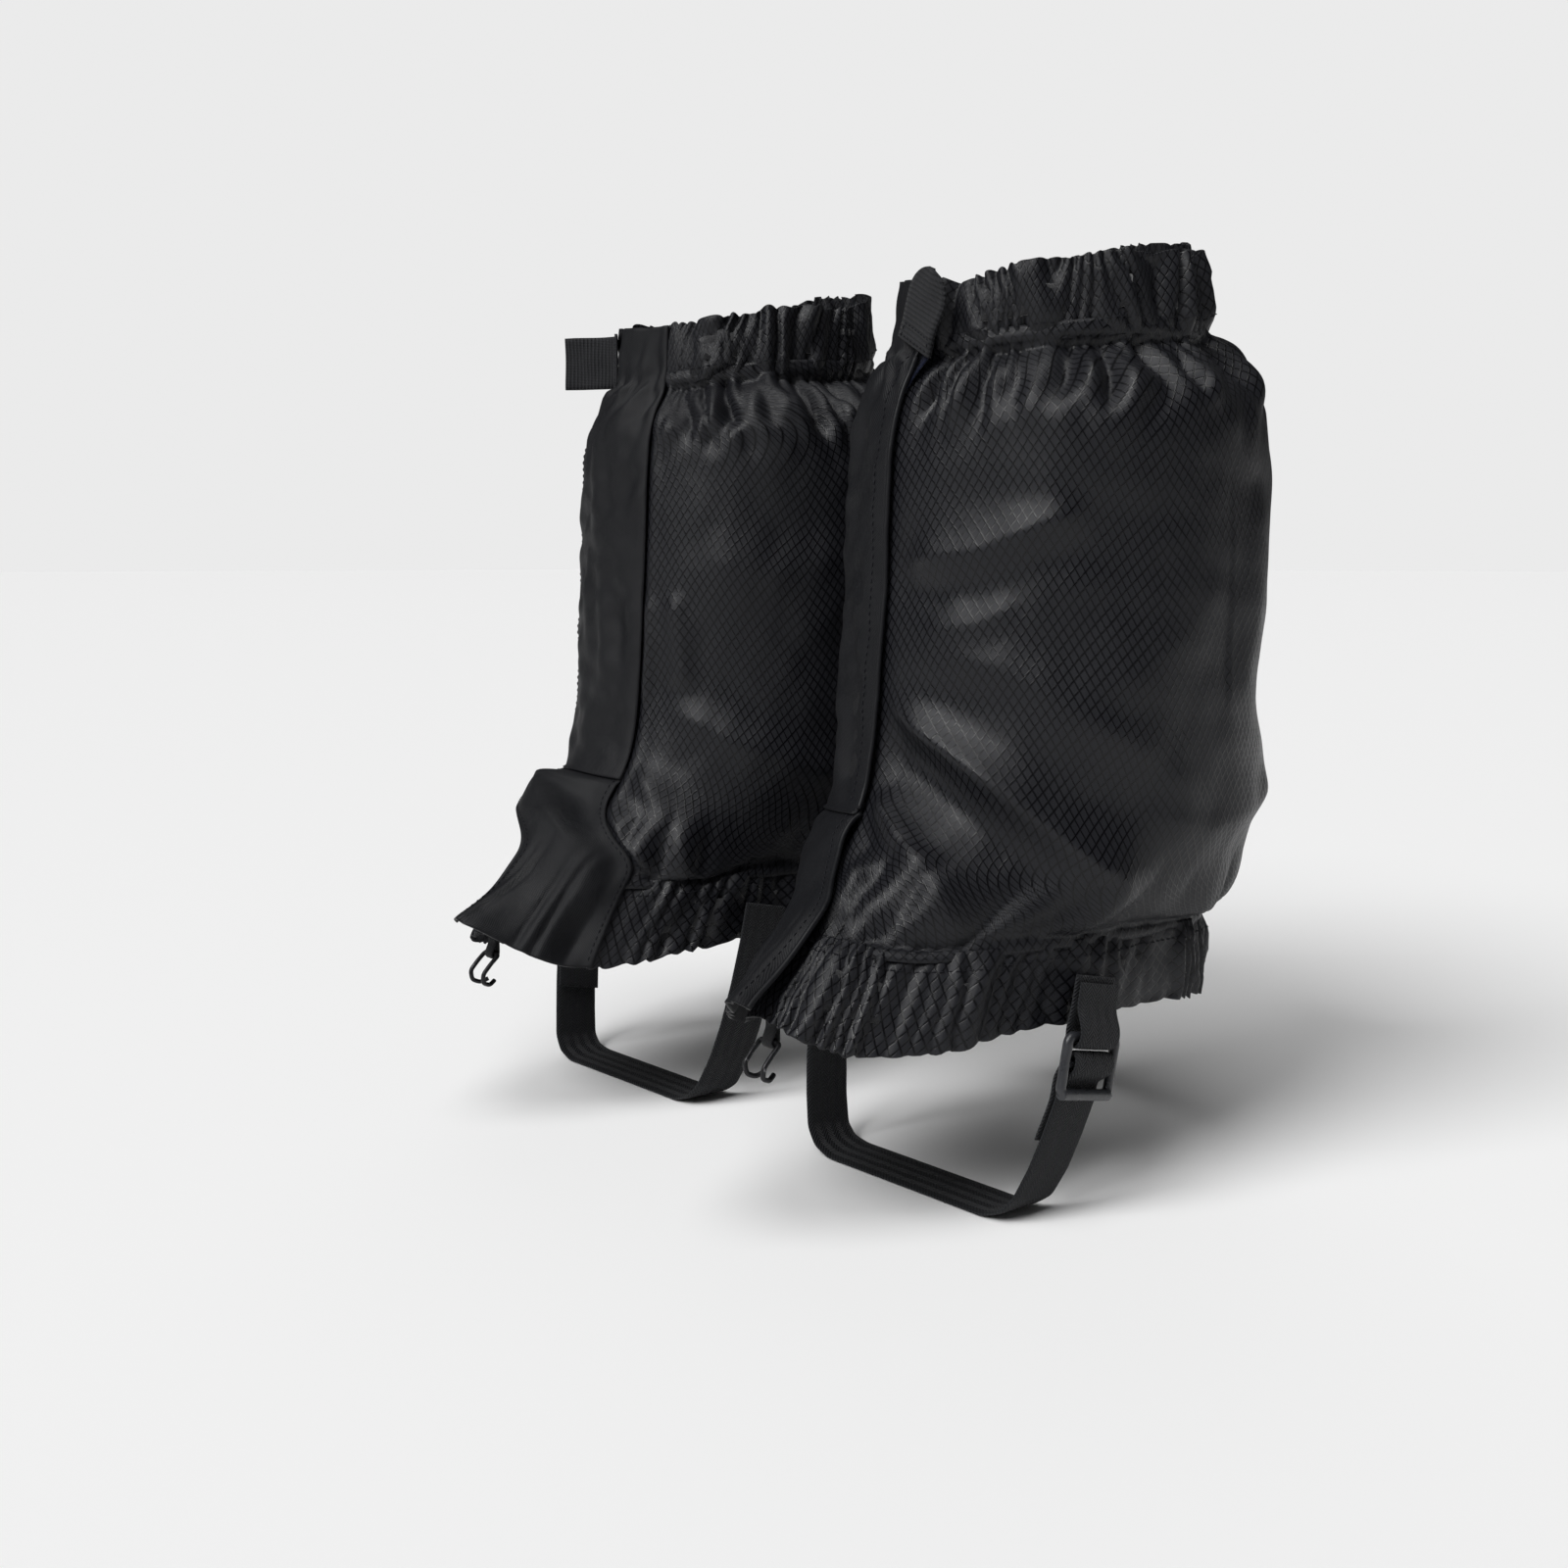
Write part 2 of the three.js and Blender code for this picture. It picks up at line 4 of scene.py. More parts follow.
import bpy
import numpy as np
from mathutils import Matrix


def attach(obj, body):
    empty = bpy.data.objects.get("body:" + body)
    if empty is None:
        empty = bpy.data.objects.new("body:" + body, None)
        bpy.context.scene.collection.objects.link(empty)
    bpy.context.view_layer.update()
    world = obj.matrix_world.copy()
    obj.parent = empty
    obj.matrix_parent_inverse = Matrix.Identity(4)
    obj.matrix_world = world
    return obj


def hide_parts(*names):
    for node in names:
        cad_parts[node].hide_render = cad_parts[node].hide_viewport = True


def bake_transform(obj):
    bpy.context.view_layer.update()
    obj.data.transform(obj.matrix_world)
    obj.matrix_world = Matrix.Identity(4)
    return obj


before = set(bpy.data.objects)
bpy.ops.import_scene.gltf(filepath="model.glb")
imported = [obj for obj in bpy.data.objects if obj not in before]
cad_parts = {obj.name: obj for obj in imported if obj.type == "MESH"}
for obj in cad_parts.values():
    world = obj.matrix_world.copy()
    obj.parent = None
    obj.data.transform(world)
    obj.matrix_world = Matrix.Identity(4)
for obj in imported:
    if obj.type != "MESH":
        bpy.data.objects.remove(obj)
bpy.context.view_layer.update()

# Lengths are in millimetres until a mesh is made, and angles in degrees round the leg from straight ahead.
MM = 0.001
HALF_SPACING = 75.0
ARC = 68 * math.pi / 180  # cloth for each degree round the leg
CLOTH, TAPE_PAIR, HEM_OUTER = 1.2, 1.5, 2.2
FLAP_WALL, EDGE_ROLL = 0.9, 0.95
TAB_WIDTH, TAB_PAD_WIDTH = 20, 16
STRAP_WIDTH, WEBBING = 20.0, 1.4

# Rings number the height up the cloth, from the bottom edge at 0 to the rim.
HEM_TOP, FLAP_FOOT, COLLAR, RIM = 1.0, 3.3, 7.0, 8.0
HEM_STEP = (COLLAR - 0.8, COLLAR - 0.3)  # where the flap climbs on to the top hem

# Outlines of the leg cloth, bottom edge to rim: (forward, up) in front, (outward, up) beside and
# (back, up) behind.
FRONT = np.array([(-134, 69), (-113, 91), (-99, 102), (-84, 115), (-73, 138), (-68, 190), (-64, 246),
                  (-54, 267), (-52, 289)], float)
SIDE = np.array([(53, 60), (53, 86), (59, 94), (65, 108), (68, 140), (68, 195), (66, 248), (49, 271),
                 (46, 297)], float)
BACK = np.array([(48, 56), (49, 80), (59, 91), (69, 106), (70, 140), (70, 198), (69, 260), (43, 285),
                 (39, 310)], float)

# The flap's sewn seam, the lap's edge and the flap's free edge: at the bottom hem, then up the leg.
SEAM_LOW, LAP_LOW, FREE_LOW = -36, -10, 3
LEFT = {"name": "left", "side": 1, "seam": -63, "lap": -33, "free": -11,
        "tab": {"root": -14, "ring": 7.0, "tilt": 64, "turn": 0, "length": 25, "bend": 200}}
RIGHT = {"name": "right", "side": -1, "seam": -9, "lap": 21, "free": 43,
         "tab": {"root": 36, "ring": 7.4, "tilt": 0, "turn": 70, "length": 23, "bend": 1e6}}


# ---------------------------------------------------------------- camera and light

camera = bpy.data.objects.new("camera", bpy.data.cameras.new("camera"))
camera.data.lens = 37.5
camera.data.sensor_width = 36
camera.location = (0.422, -0.448, 0.202)
camera.rotation_euler = (math.radians(90 - 7.8), 0, math.radians(47.1))
bpy.context.scene.collection.objects.link(camera)
bpy.context.scene.camera = camera


def soft_light(name, azimuth, elevation, spread, strength):
    """A far, broad light from an azimuth and elevation in degrees: a sun whose disc spreads wide."""
    lamp = bpy.data.objects.new(name, bpy.data.lights.new(name, "SUN"))
    lamp.data.angle = math.radians(spread)
    lamp.data.energy = strength
    lamp.rotation_euler = (math.radians(90 - elevation), 0, math.radians(azimuth))
    bpy.context.scene.collection.objects.link(lamp)


soft_light("key_light", -1, 44, 34, 2.65)
soft_light("top_light", 36, 76, 30, 0.95)
soft_light("back_light", 225, 46, 40, 0.15)

world = bpy.data.worlds.new("studio")
world.use_nodes = True
backdrop = world.node_tree.nodes["Background"]
backdrop.inputs["Color"].default_value = (1, 1, 1, 1)
seen = world.node_tree.nodes.new("ShaderNodeLightPath")
level = world.node_tree.nodes.new("ShaderNodeMapRange")
level.inputs["To Min"].default_value = 0.06
level.inputs["To Max"].default_value = 0.83
world.node_tree.links.new(seen.outputs["Is Camera Ray"], level.inputs["Value"])
world.node_tree.links.new(level.outputs["Result"], backdrop.inputs["Strength"])
bpy.context.scene.world = world
bpy.context.scene.view_settings.view_transform = "Standard"


# ---------------------------------------------------------------- materials

class Finish:
    """A material with one Principled shader and short ways to add the nodes that feed it."""

    def __init__(self, name, roughness=0.6, metallic=0.0, sheen=0.0, specular=0.5):
        """Sets what is the same all over on the shader's own sockets."""
        self.material = bpy.data.materials.new(name)
        self.material.use_nodes = True
        self.tree = self.material.node_tree
        self.shader = self.tree.nodes["Principled BSDF"]
        self.shader.inputs["Roughness"].default_value = roughness
        self.shader.inputs["Metallic"].default_value = metallic
        self.shader.inputs["Sheen Weight"].default_value = sheen
        self.shader.inputs["Sheen Roughness"].default_value = 0.45
        self.shader.inputs["Specular IOR Level"].default_value = specular

    def node(self, kind, **settings):
        """A new node with its settings."""
        made = self.tree.nodes.new(kind)
        for key, value in settings.items():
            setattr(made, key, value)
        return made

    def feed(self, socket, value):
        """Links a socket, or sets a value."""
        if isinstance(value, bpy.types.NodeSocket):
            self.tree.links.new(value, socket)
        else:
            socket.default_value = value

    def math(self, operation, a, b=0.0, c=0.0):
        """One sum, product or other step on up to three values."""
        made = self.node("ShaderNodeMath", operation=operation)
        for socket, value in zip(made.inputs, (a, b, c)):
            self.feed(socket, value)
        return made.outputs[0]

    def ramp(self, value, low, high, out_low=0.0, out_high=1.0):
        """A smooth step from one level to another as the value goes from low to high."""
        made = self.node("ShaderNodeMapRange", interpolation_type="SMOOTHSTEP")
        for key, item in (("Value", value), ("From Min", low), ("From Max", high), ("To Min", out_low),
                          ("To Max", out_high)):
            self.feed(made.inputs[key], item)
        return made.outputs["Result"]

    def mix(self, share, a, b):
        """Two colours mixed by a share."""
        made = self.node("ShaderNodeMix", data_type="RGBA")
        self.feed(made.inputs[0], share)
        self.feed(made.inputs[6], a)
        self.feed(made.inputs[7], b)
        return made.outputs[2]

    def cloth_position(self):
        """The piece's own map, in millimetres along and across the cloth."""
        made = self.node("ShaderNodeSeparateXYZ")
        self.feed(made.inputs[0], self.node("ShaderNodeUVMap", uv_map="cloth").outputs[0])
        return made.outputs[0], made.outputs[1]

    def space(self):
        """The piece's place, in metres."""
        return self.node("ShaderNodeTexCoord").outputs["Object"]

    def noise(self, scale, detail=2.0, roughness=0.5):
        """Soft noise in space, from 0 to 1."""
        made = self.node("ShaderNodeTexNoise")
        self.feed(made.inputs["Vector"], self.space())
        made.inputs["Scale"].default_value = scale
        made.inputs["Detail"].default_value = detail
        made.inputs["Roughness"].default_value = roughness
        return made.outputs["Fac"]

    def lines(self, value, pitch, width):
        """1 on thin lines one pitch apart, 0 between them."""
        share = self.math("PINGPONG", self.math("DIVIDE", value, pitch), 0.5)
        return self.ramp(share, width / pitch / 2, 0.0)

    def waves(self, value, pitch):
        """A sine from -1 to 1, one wave to each pitch."""
        return self.math("SINE", self.math("MULTIPLY", value, 2 * math.pi / pitch))

    def colour(self, value):
        """Sets what the shader takes as its colour."""
        self.feed(self.shader.inputs["Base Color"], value)

    def roughness(self, value):
        """Sets what the shader takes as its roughness."""
        self.feed(self.shader.inputs["Roughness"], value)

    def bump(self, *layers):
        """Layers of (height, distance in mm), one over another."""
        normal = None
        for height, distance in layers:
            made = self.node("ShaderNodeBump")
            made.inputs["Distance"].default_value = distance * MM
            made.inputs["Strength"].default_value = 1.0
            self.feed(made.inputs["Height"], height)
            if normal is not None:
                self.feed(made.inputs["Normal"], normal)
            normal = made.outputs["Normal"]
        self.feed(self.shader.inputs["Normal"], normal)


def ripstop_finish():
    """Coated ripstop: thicker threads cross in a diamond lattice over a fine plain weave, with soft
    creases."""
    f = Finish("ripstop_cloth", specular=0.26)
    u, v = f.cloth_position()
    rise, pitch, thread = math.radians(56), 2.65, 0.95
    across = f.math("MULTIPLY_ADD", u, math.sin(rise), f.math("MULTIPLY", v, math.cos(rise)))
    back = f.math("MULTIPLY_ADD", u, math.sin(rise), f.math("MULTIPLY", v, -math.cos(rise)))
    lattice = f.math("MAXIMUM", f.lines(across, pitch, thread), f.lines(back, pitch, thread))
    weave = f.math("MULTIPLY", f.waves(u, 0.7), f.waves(v, 0.7))
    patches = f.noise(14, 3)
    crinkle = f.noise(150, 3, 0.6)
    ground = f.mix(patches, (0.0085, 0.0088, 0.0112, 1), (0.0125, 0.0129, 0.0158, 1))
    f.colour(f.mix(lattice, ground, (0.0010, 0.0010, 0.0016, 1)))
    cloth = f.ramp(f.noise(30, 2), 0.3, 0.7, 0.43, 0.53)
    f.roughness(f.math("MULTIPLY_ADD", lattice, -0.22, cloth))
    f.bump((crinkle, 0.25), (weave, 0.02), (lattice, 0.05))
    return f.material


def plain_finish():
    """Plain-weave cloth: fine crossing threads, a dull gloss and a soft crinkle."""
    f = Finish("plain_weave_cloth", specular=0.24)
    u, v = f.cloth_position()
    weave = f.math("MULTIPLY", f.waves(u, 0.8), f.waves(v, 0.8))
    patches = f.noise(22, 3)
    f.colour(f.mix(patches, (0.0030, 0.0033, 0.0046, 1), (0.0055, 0.0058, 0.0074, 1)))
    f.roughness(f.ramp(f.noise(45, 2), 0.3, 0.7, 0.46, 0.6))
    f.bump((f.noise(120, 3, 0.6), 0.45), (weave, 0.05))
    return f.material


def loop_pile_finish():
    """Loop tape: a matte dark blue pile with tufts."""
    f = Finish("loop_pile", roughness=0.95, sheen=0.12, specular=0.1)
    tufts = f.noise(1500, 2, 0.7)
    f.colour(f.mix(f.ramp(tufts, 0.35, 0.65), (0.003, 0.004, 0.010, 1), (0.012, 0.015, 0.034, 1)))
    f.bump((tufts, 0.5))
    return f.material


def hook_finish():
    """Hook tape: rows of small moulded hooks."""
    f = Finish("hook_rows", roughness=0.6, specular=0.35)
    u, v = f.cloth_position()
    rows = f.math("MULTIPLY", f.waves(u, 1.1), f.waves(v, 1.3))
    peaks = f.ramp(rows, 0.1, 0.8)
    f.colour(f.mix(peaks, (0.004, 0.004, 0.005, 1), (0.022, 0.022, 0.025, 1)))
    f.bump((peaks, 0.5))
    return f.material


def ribbon_finish():
    """Cross-ribbed ribbon."""
    f = Finish("ribbed_ribbon", roughness=0.7, sheen=0.06, specular=0.25)
    u, v = f.cloth_position()
    ribs = f.waves(u, 1.5)
    threads = f.waves(v, 0.6)
    f.colour(f.mix(f.ramp(ribs, -1, 1), (0.0035, 0.0038, 0.005, 1), (0.013, 0.0135, 0.016, 1)))
    f.bump((ribs, 0.14), (threads, 0.05), (f.noise(300, 2), 0.2))
    return f.material


def webbing_finish():
    """Narrow webbing: a herringbone of fine ribs and a firmer woven edge."""
    f = Finish("webbing_weave", roughness=0.72, sheen=0.05, specular=0.25)
    u, v = f.cloth_position()
    zigzag = f.math("PINGPONG", v, 2.5)
    ribs = f.waves(f.math("ADD", u, zigzag), 1.25)
    edge = f.ramp(f.math("ABSOLUTE", v), STRAP_WIDTH / 2 - 1.6, STRAP_WIDTH / 2 - 0.8)
    ground = f.mix(f.ramp(ribs, -1, 1), (0.0035, 0.0038, 0.005, 1), (0.0125, 0.0135, 0.0165, 1))
    f.colour(f.mix(f.math("MULTIPLY", edge, 0.6), ground, (0.010, 0.011, 0.013, 1)))
    f.bump((ribs, 0.16), (f.noise(500, 2), 0.15))
    return f.material


def elastic_finish():
    """Braided elastic: matte, with the fine grain of its braid."""
    f = Finish("braided_elastic", roughness=0.9, sheen=0.3, specular=0.3)
    f.colour(f.mix(f.noise(900), (0.006, 0.006, 0.007, 1), (0.022, 0.022, 0.024, 1)))
    f.bump((f.noise(1200), 0.3))
    return f.material


def moulded_finish():
    """Moulded acetal: satin, faintly mottled, with a fine spark-eroded grain."""
    f = Finish("moulded_acetal")
    f.colour(f.mix(f.noise(120, 3), (0.016, 0.017, 0.020, 1), (0.026, 0.027, 0.031, 1)))
    f.roughness(f.ramp(f.noise(260, 2), 0.3, 0.7, 0.26, 0.40))
    f.bump((f.noise(2200, 2), 0.05), (f.noise(150, 2), 0.1))
    return f.material


def wire_finish():
    """Black coated steel wire, worn a little brighter in spots."""
    f = Finish("coated_wire", metallic=0.75)
    wear = f.ramp(f.noise(420, 3, 0.7), 0.58, 0.72)
    f.colour(f.mix(wear, (0.020, 0.020, 0.022, 1), (0.16, 0.16, 0.165, 1)))
    f.roughness(f.ramp(f.noise(300, 2), 0.3, 0.7, 0.28, 0.5))
    f.bump((f.noise(900, 2), 0.05))
    return f.material


def thread_finish():
    """Twisted polyester thread."""
    f = Finish("sewing_thread", roughness=0.8, specular=0.12)
    f.colour(f.mix(f.noise(2500, 2), (0.006, 0.006, 0.008, 1), (0.02, 0.0205, 0.024, 1)))
    f.bump((f.noise(3000, 2), 0.1))
    return f.material


RIPSTOP, PLAIN, LOOP_PILE = ripstop_finish(), plain_finish(), loop_pile_finish()
HOOKS, RIBBON, WEB = hook_finish(), ribbon_finish(), webbing_finish()
ELASTIC, MOULDED, WIRE, THREAD = elastic_finish(), moulded_finish(), wire_finish(), thread_finish()


# ---------------------------------------------------------------- shape of the cloth

def spline(points, ring):
    """Catmull-Rom curve through the points: a cubic between each two that heads along their neighbours."""
    p = np.clip(np.asarray(ring, float) / RIM, 0, 1) * (len(points) - 1)
    i = np.minimum(np.floor(p).astype(int), len(points) - 2)
    t = (p - i)[..., None]
    p0, p1 = points[np.maximum(i - 1, 0)], points[i]
    p2, p3 = points[i + 1], points[np.minimum(i + 2, len(points) - 1)]
    p0 = np.where((i == 0)[..., None], p1, p0)
    v0, v1 = (p2 - p0) / 2, (p3 - p1) / 2
    return ((2 * p1 - 2 * p2 + v0 + v1) * t ** 3 + (3 * p2 - 3 * p1 - 2 * v0 - v1) * t ** 2 + v0 * t + p1)


def skin(angle, ring):
    """An oval round the leg at each ring, its front, side and back on the outlines. Its height eases
    between them by the cosine squared, and the bottom edge hangs in a bell on each side of the instep."""
    angle, ring = np.broadcast_arrays(np.asarray(angle, float), np.asarray(ring, float))
    a = np.radians(angle)
    side, front, back = spline(SIDE, ring), spline(FRONT, ring), spline(BACK, ring)
    c = np.cos(a)
    end = np.where((c > 0)[..., None], front, back)
    beside = np.abs((angle + 180) % 360 - 180) - 32
    hang = 9 * np.exp(-(beside / 22) ** 2) * np.clip(1 - ring / 2.2, 0, 1) ** 2
    height = side[..., 1] + (end[..., 1] - side[..., 1]) * c * c - hang
    return np.stack([side[..., 0] * np.sin(a), end[..., 0] * np.abs(c), height], -1)


def outward(angle, ring):
    """Unit normal of the skin: the cross product of its steps round and up."""
    r = np.clip(ring, 0.02, RIM - 0.02)
    n = np.cross(skin(angle + 0.5, r) - skin(angle - 0.5, r), skin(angle, r + 0.02) - skin(angle, r - 0.02))
    return n / np.linalg.norm(n, axis=-1, keepdims=True)


def lifted(angle, ring, distance):
    """The skin moved out along its normal."""
    return skin(angle, ring) + outward(angle, ring) * np.asarray(distance)[..., None]


def ease(low, high, value):
    """A smooth step from 0 at low to 1 at high: three times the share squared, less twice its cube."""
    t = np.clip((np.asarray(value, float) - low) / (high - low), 0, 1)
    return t * t * (3 - 2 * t)


def along(low, high, share):
    """The value a share of the way from low to high."""
    return low + (high - low) * share


def seam_at(g, ring):
    """Where the flap is sewn on: it eases over from the bottom hem to its place up the leg."""
    return along(SEAM_LOW, g["seam"], ease(HEM_TOP, 3, ring))


def lap_at(g, ring):
    """Where the leg cloth's edge lies under the flap."""
    return along(LAP_LOW, g["lap"], ease(HEM_TOP, 3, ring))


def free_at(g, ring):
    """Where the flap's free edge lies."""
    return along(FREE_LOW, g["free"], ease(HEM_TOP, 3, ring))


def flap_lift(g, angle, ring):
    """Level with the panel at the seam, above the two tapes where the flap lies on the lap."""
    on_lap = ease(seam_at(g, ring) + 3, lap_at(g, ring) - 3, angle)
    on_hem = np.where(ring > FLAP_FOOT, ease(*HEM_STEP, ring), 1)
    return on_lap * (along(CLOTH, HEM_OUTER, on_hem) + TAPE_PAIR)


def even_rings(low, high, count):
    """Rings spaced evenly by their distance up the side outline."""
    fine = np.linspace(low, high, 400)
    line = spline(SIDE, fine)
    length = np.concatenate([[0], np.cumsum(np.linalg.norm(np.diff(line, axis=0), axis=1))])
    return np.interp(np.linspace(0, length[-1], count), length, fine)


def ripple(x, y, wavelength, seed):
    """Soft uneven noise: the mean of sine waves of random heading, phase and near-equal length."""
    rng = np.random.default_rng(seed)
    x, y = np.broadcast_arrays(np.asarray(x, float), np.asarray(y, float))
    total = np.zeros(x.shape)
    for _ in range(14):
        heading, phase = rng.uniform(0, 2 * math.pi, 2)
        k = 2 * math.pi / (wavelength * rng.uniform(0.7, 1.6))
        total += np.sin(k * (x * math.cos(heading) + y * math.sin(heading)) + phase)
    return total / 3.2


def lobes(s, pitch, seed, drift=0.0, wander=0.34):
    """Rounded lobes of uneven width with narrow valleys: the power of a sine's size, its phase wandering."""
    phase = s / pitch + wander * ripple(s, 0, 3.1 * pitch, seed) + drift
    size = np.clip(0.85 + wander * ripple(s, 0, 2.3 * pitch, seed + 1), 0.4, 1.3)
    return np.abs(np.sin(np.pi * phase)) ** 0.75 * size


def fold(s, h, path, width, rise):
    """A crease along a path of (degrees, height): a bell across it and a shallow valley beside it,
    tapering at both ends."""
    points = np.array([(a * ARC, z) for a, z in path], float)
    steps = np.diff(points, axis=0)
    lengths = np.linalg.norm(steps, axis=1)
    starts = np.concatenate([[0], np.cumsum(lengths)])
    best = np.full(s.shape, 1e9)
    place, beside = np.zeros(s.shape), np.zeros(s.shape)
    for i, step in enumerate(steps):
        ds, dh = s - points[i, 0], h - points[i, 1]
        t = np.clip((ds * step[0] + dh * step[1]) / lengths[i] ** 2, 0, 1)
        gap = np.hypot(ds - t * step[0], dh - t * step[1])
        closer = gap < best
        best = np.where(closer, gap, best)
        place = np.where(closer, starts[i] + t * lengths[i], place)
        beside = np.where(closer, (step[0] * dh - step[1] * ds) / lengths[i], beside)
    share = place / starts[-1]
    taper = ease(0, 0.22, share) * ease(0, 0.22, 1 - share)
    crest = np.exp(-np.abs(best / width) ** 1.5)
    valley = np.exp(-((beside + 1.7 * width) / (1.2 * width)) ** 2) * np.exp(-(best / (3 * width)) ** 4)
    return rise * taper * (crest - 0.3 * valley)


# ---------------------------------------------------------------- meshes

def named(g, what):
    """The name of one gaiter's piece, node or body."""
    return f"{g['name']}_{what}"


def grid_faces(shape, flip=False, wrap=(False, False), caps=False):
    """Quads between a grid's neighbours, joined round where it wraps, its ends closed if asked."""
    nu, nv = shape
    index = np.arange(nu * nv).reshape(nu, nv)
    if wrap[0]:
        index = np.concatenate([index, index[:1]], 0)
    if wrap[1]:
        index = np.concatenate([index, index[:, :1]], 1)
    quads = np.stack([index[:-1, :-1], index[1:, :-1], index[1:, 1:], index[:-1, 1:]], -1).reshape(-1, 4)
    faces = quads.tolist()
    if caps:
        faces += [list(range(nv)), list(range((nu - 1) * nv, nu * nv))[::-1]]
    return [f[::-1] for f in faces] if flip else faces


def meshed(name, points, faces, material, smooth=True):
    """A piece made of points in millimetres and the faces between them."""
    mesh = bpy.data.meshes.new(name)
    mesh.from_pydata((points.reshape(-1, 3) * MM).tolist(), [], faces)
    mesh.polygons.foreach_set("use_smooth", np.full(len(mesh.polygons), smooth))
    mesh.materials.append(material)
    mesh.update()
    piece = bpy.data.objects.new(name, mesh)
    bpy.context.scene.collection.objects.link(piece)
    return piece


def surface(name, points, material, cloth=None, wall=None, **edges):
    """A piece on a grid of points, with its cloth map and its wall thickness where it has them."""
    piece = meshed(name, points, grid_faces(points.shape[:2], **edges), material)
    mesh = piece.data
    if cloth is not None:
        layer = mesh.uv_layers.new(name="cloth")
        corner = np.zeros(len(mesh.loops), int)
        mesh.loops.foreach_get("vertex_index", corner)
        layer.data.foreach_set("uv", np.asarray(cloth, float).reshape(-1, 2)[corner].ravel())
    if wall:
        thick = piece.modifiers.new("wall", "SOLIDIFY")
        thick.thickness = wall * MM
        thick.offset = -1
        thick.use_even_offset = True
    return piece


def placed(g, points):
    """From the gaiter's own axis to its place: mirrored on the right, then moved out to its leg."""
    out = points.copy()
    out[..., 0] = g["side"] * (points[..., 0] + HALF_SPACING)
    return out


def belongs(piece, g, body, *nodes, slot=None):
    """Rides the piece on a body, in place of the nodes that it stands for; the slot argument is not used."""
    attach(piece, named(g, body))
    if nodes:
        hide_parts(*[named(g, n) for n in nodes])
    return piece


def smooth_path(points, spacing=0.5, rounding=12):
    """Points set close along straight runs, then each averaged with its neighbours again and again
    to round the turns."""
    points = np.asarray(points, float)
    length = np.concatenate([[0], np.cumsum(np.linalg.norm(np.diff(points[:, :3], axis=0), axis=1))])
    even = np.linspace(0, length[-1], max(8, int(length[-1] / spacing)))
    path = np.stack([np.interp(even, length, column) for column in points.T], -1)
    for _ in range(rounding):
        path[1:-1] = (path[:-2] + 2 * path[1:-1] + path[2:]) / 4
    return path


def directions(path, closed=False):
    """The unit step along a path at each of its points."""
    way = np.roll(path, -1, 0) - np.roll(path, 1, 0) if closed else np.gradient(path, axis=0)
    return way / np.linalg.norm(way, axis=1, keepdims=True)


def flat_strip(name, route, width, thickness, material):
    """A strap: an oblong section with round corners carried along a route of (x, y, z, lean in degrees)."""
    path = smooth_path(route)
    lean = np.radians(path[:, 3])
    across = np.stack([np.zeros(len(path)), np.cos(lean), np.sin(lean)], -1)
    way = directions(path[:, :3])
    normal = np.cross(across, way)
    normal /= np.linalg.norm(normal, axis=1, keepdims=True)
    turn = np.linspace(0, 2 * math.pi, 24, endpoint=False)
    c, s = np.cos(turn), np.sin(turn)
    a = np.sign(c) * np.abs(c) ** 0.35 * width / 2
    b = np.sign(s) * np.abs(s) ** 0.7 * thickness / 2
    run = np.concatenate([[0], np.cumsum(np.linalg.norm(np.diff(path[:, :3], axis=0), axis=1))])
    close = np.clip(np.minimum(run, run[-1] - run) / 0.6, 0, 1) ** 0.5 * 0.5 + 0.5
    points = (path[:, None, :3] + across[:, None] * a[None, :, None]
              + normal[:, None] * (b[None, :] * close[:, None])[..., None])
    cloth = np.stack(np.broadcast_arrays(run[:, None], a[None, :]), -1)
    return surface(name, points, material, cloth, wrap=(False, True), caps=True)


def rod_grid(points, radius, closed=False, sides=12, guide=(0.3, 0.5, 0.81)):
    """A round section carried along a path and kept square to it and to a guide direction."""
    way = directions(points, closed)
    first = np.cross(way, np.array(guide, float))
    first /= np.linalg.norm(first, axis=1, keepdims=True)
    second = np.cross(way, first)
    turn = np.linspace(0, 2 * math.pi, sides, endpoint=False)
    return points[:, None] + radius * (first[:, None] * np.cos(turn)[None, :, None]
                                       + second[:, None] * np.sin(turn)[None, :, None])


def rod_faces(grid, closed=False):
    """The faces of a rod: a loop has no ends, and any other rod has both closed."""
    return grid_faces(grid.shape[:2], flip=True, wrap=(closed, True), caps=not closed)


def round_rod(name, points, radius, material, sides=12):
    """A rod along a path with two ends."""
    grid = rod_grid(points, radius, sides=sides)
    return meshed(name, grid, rod_faces(grid), material)


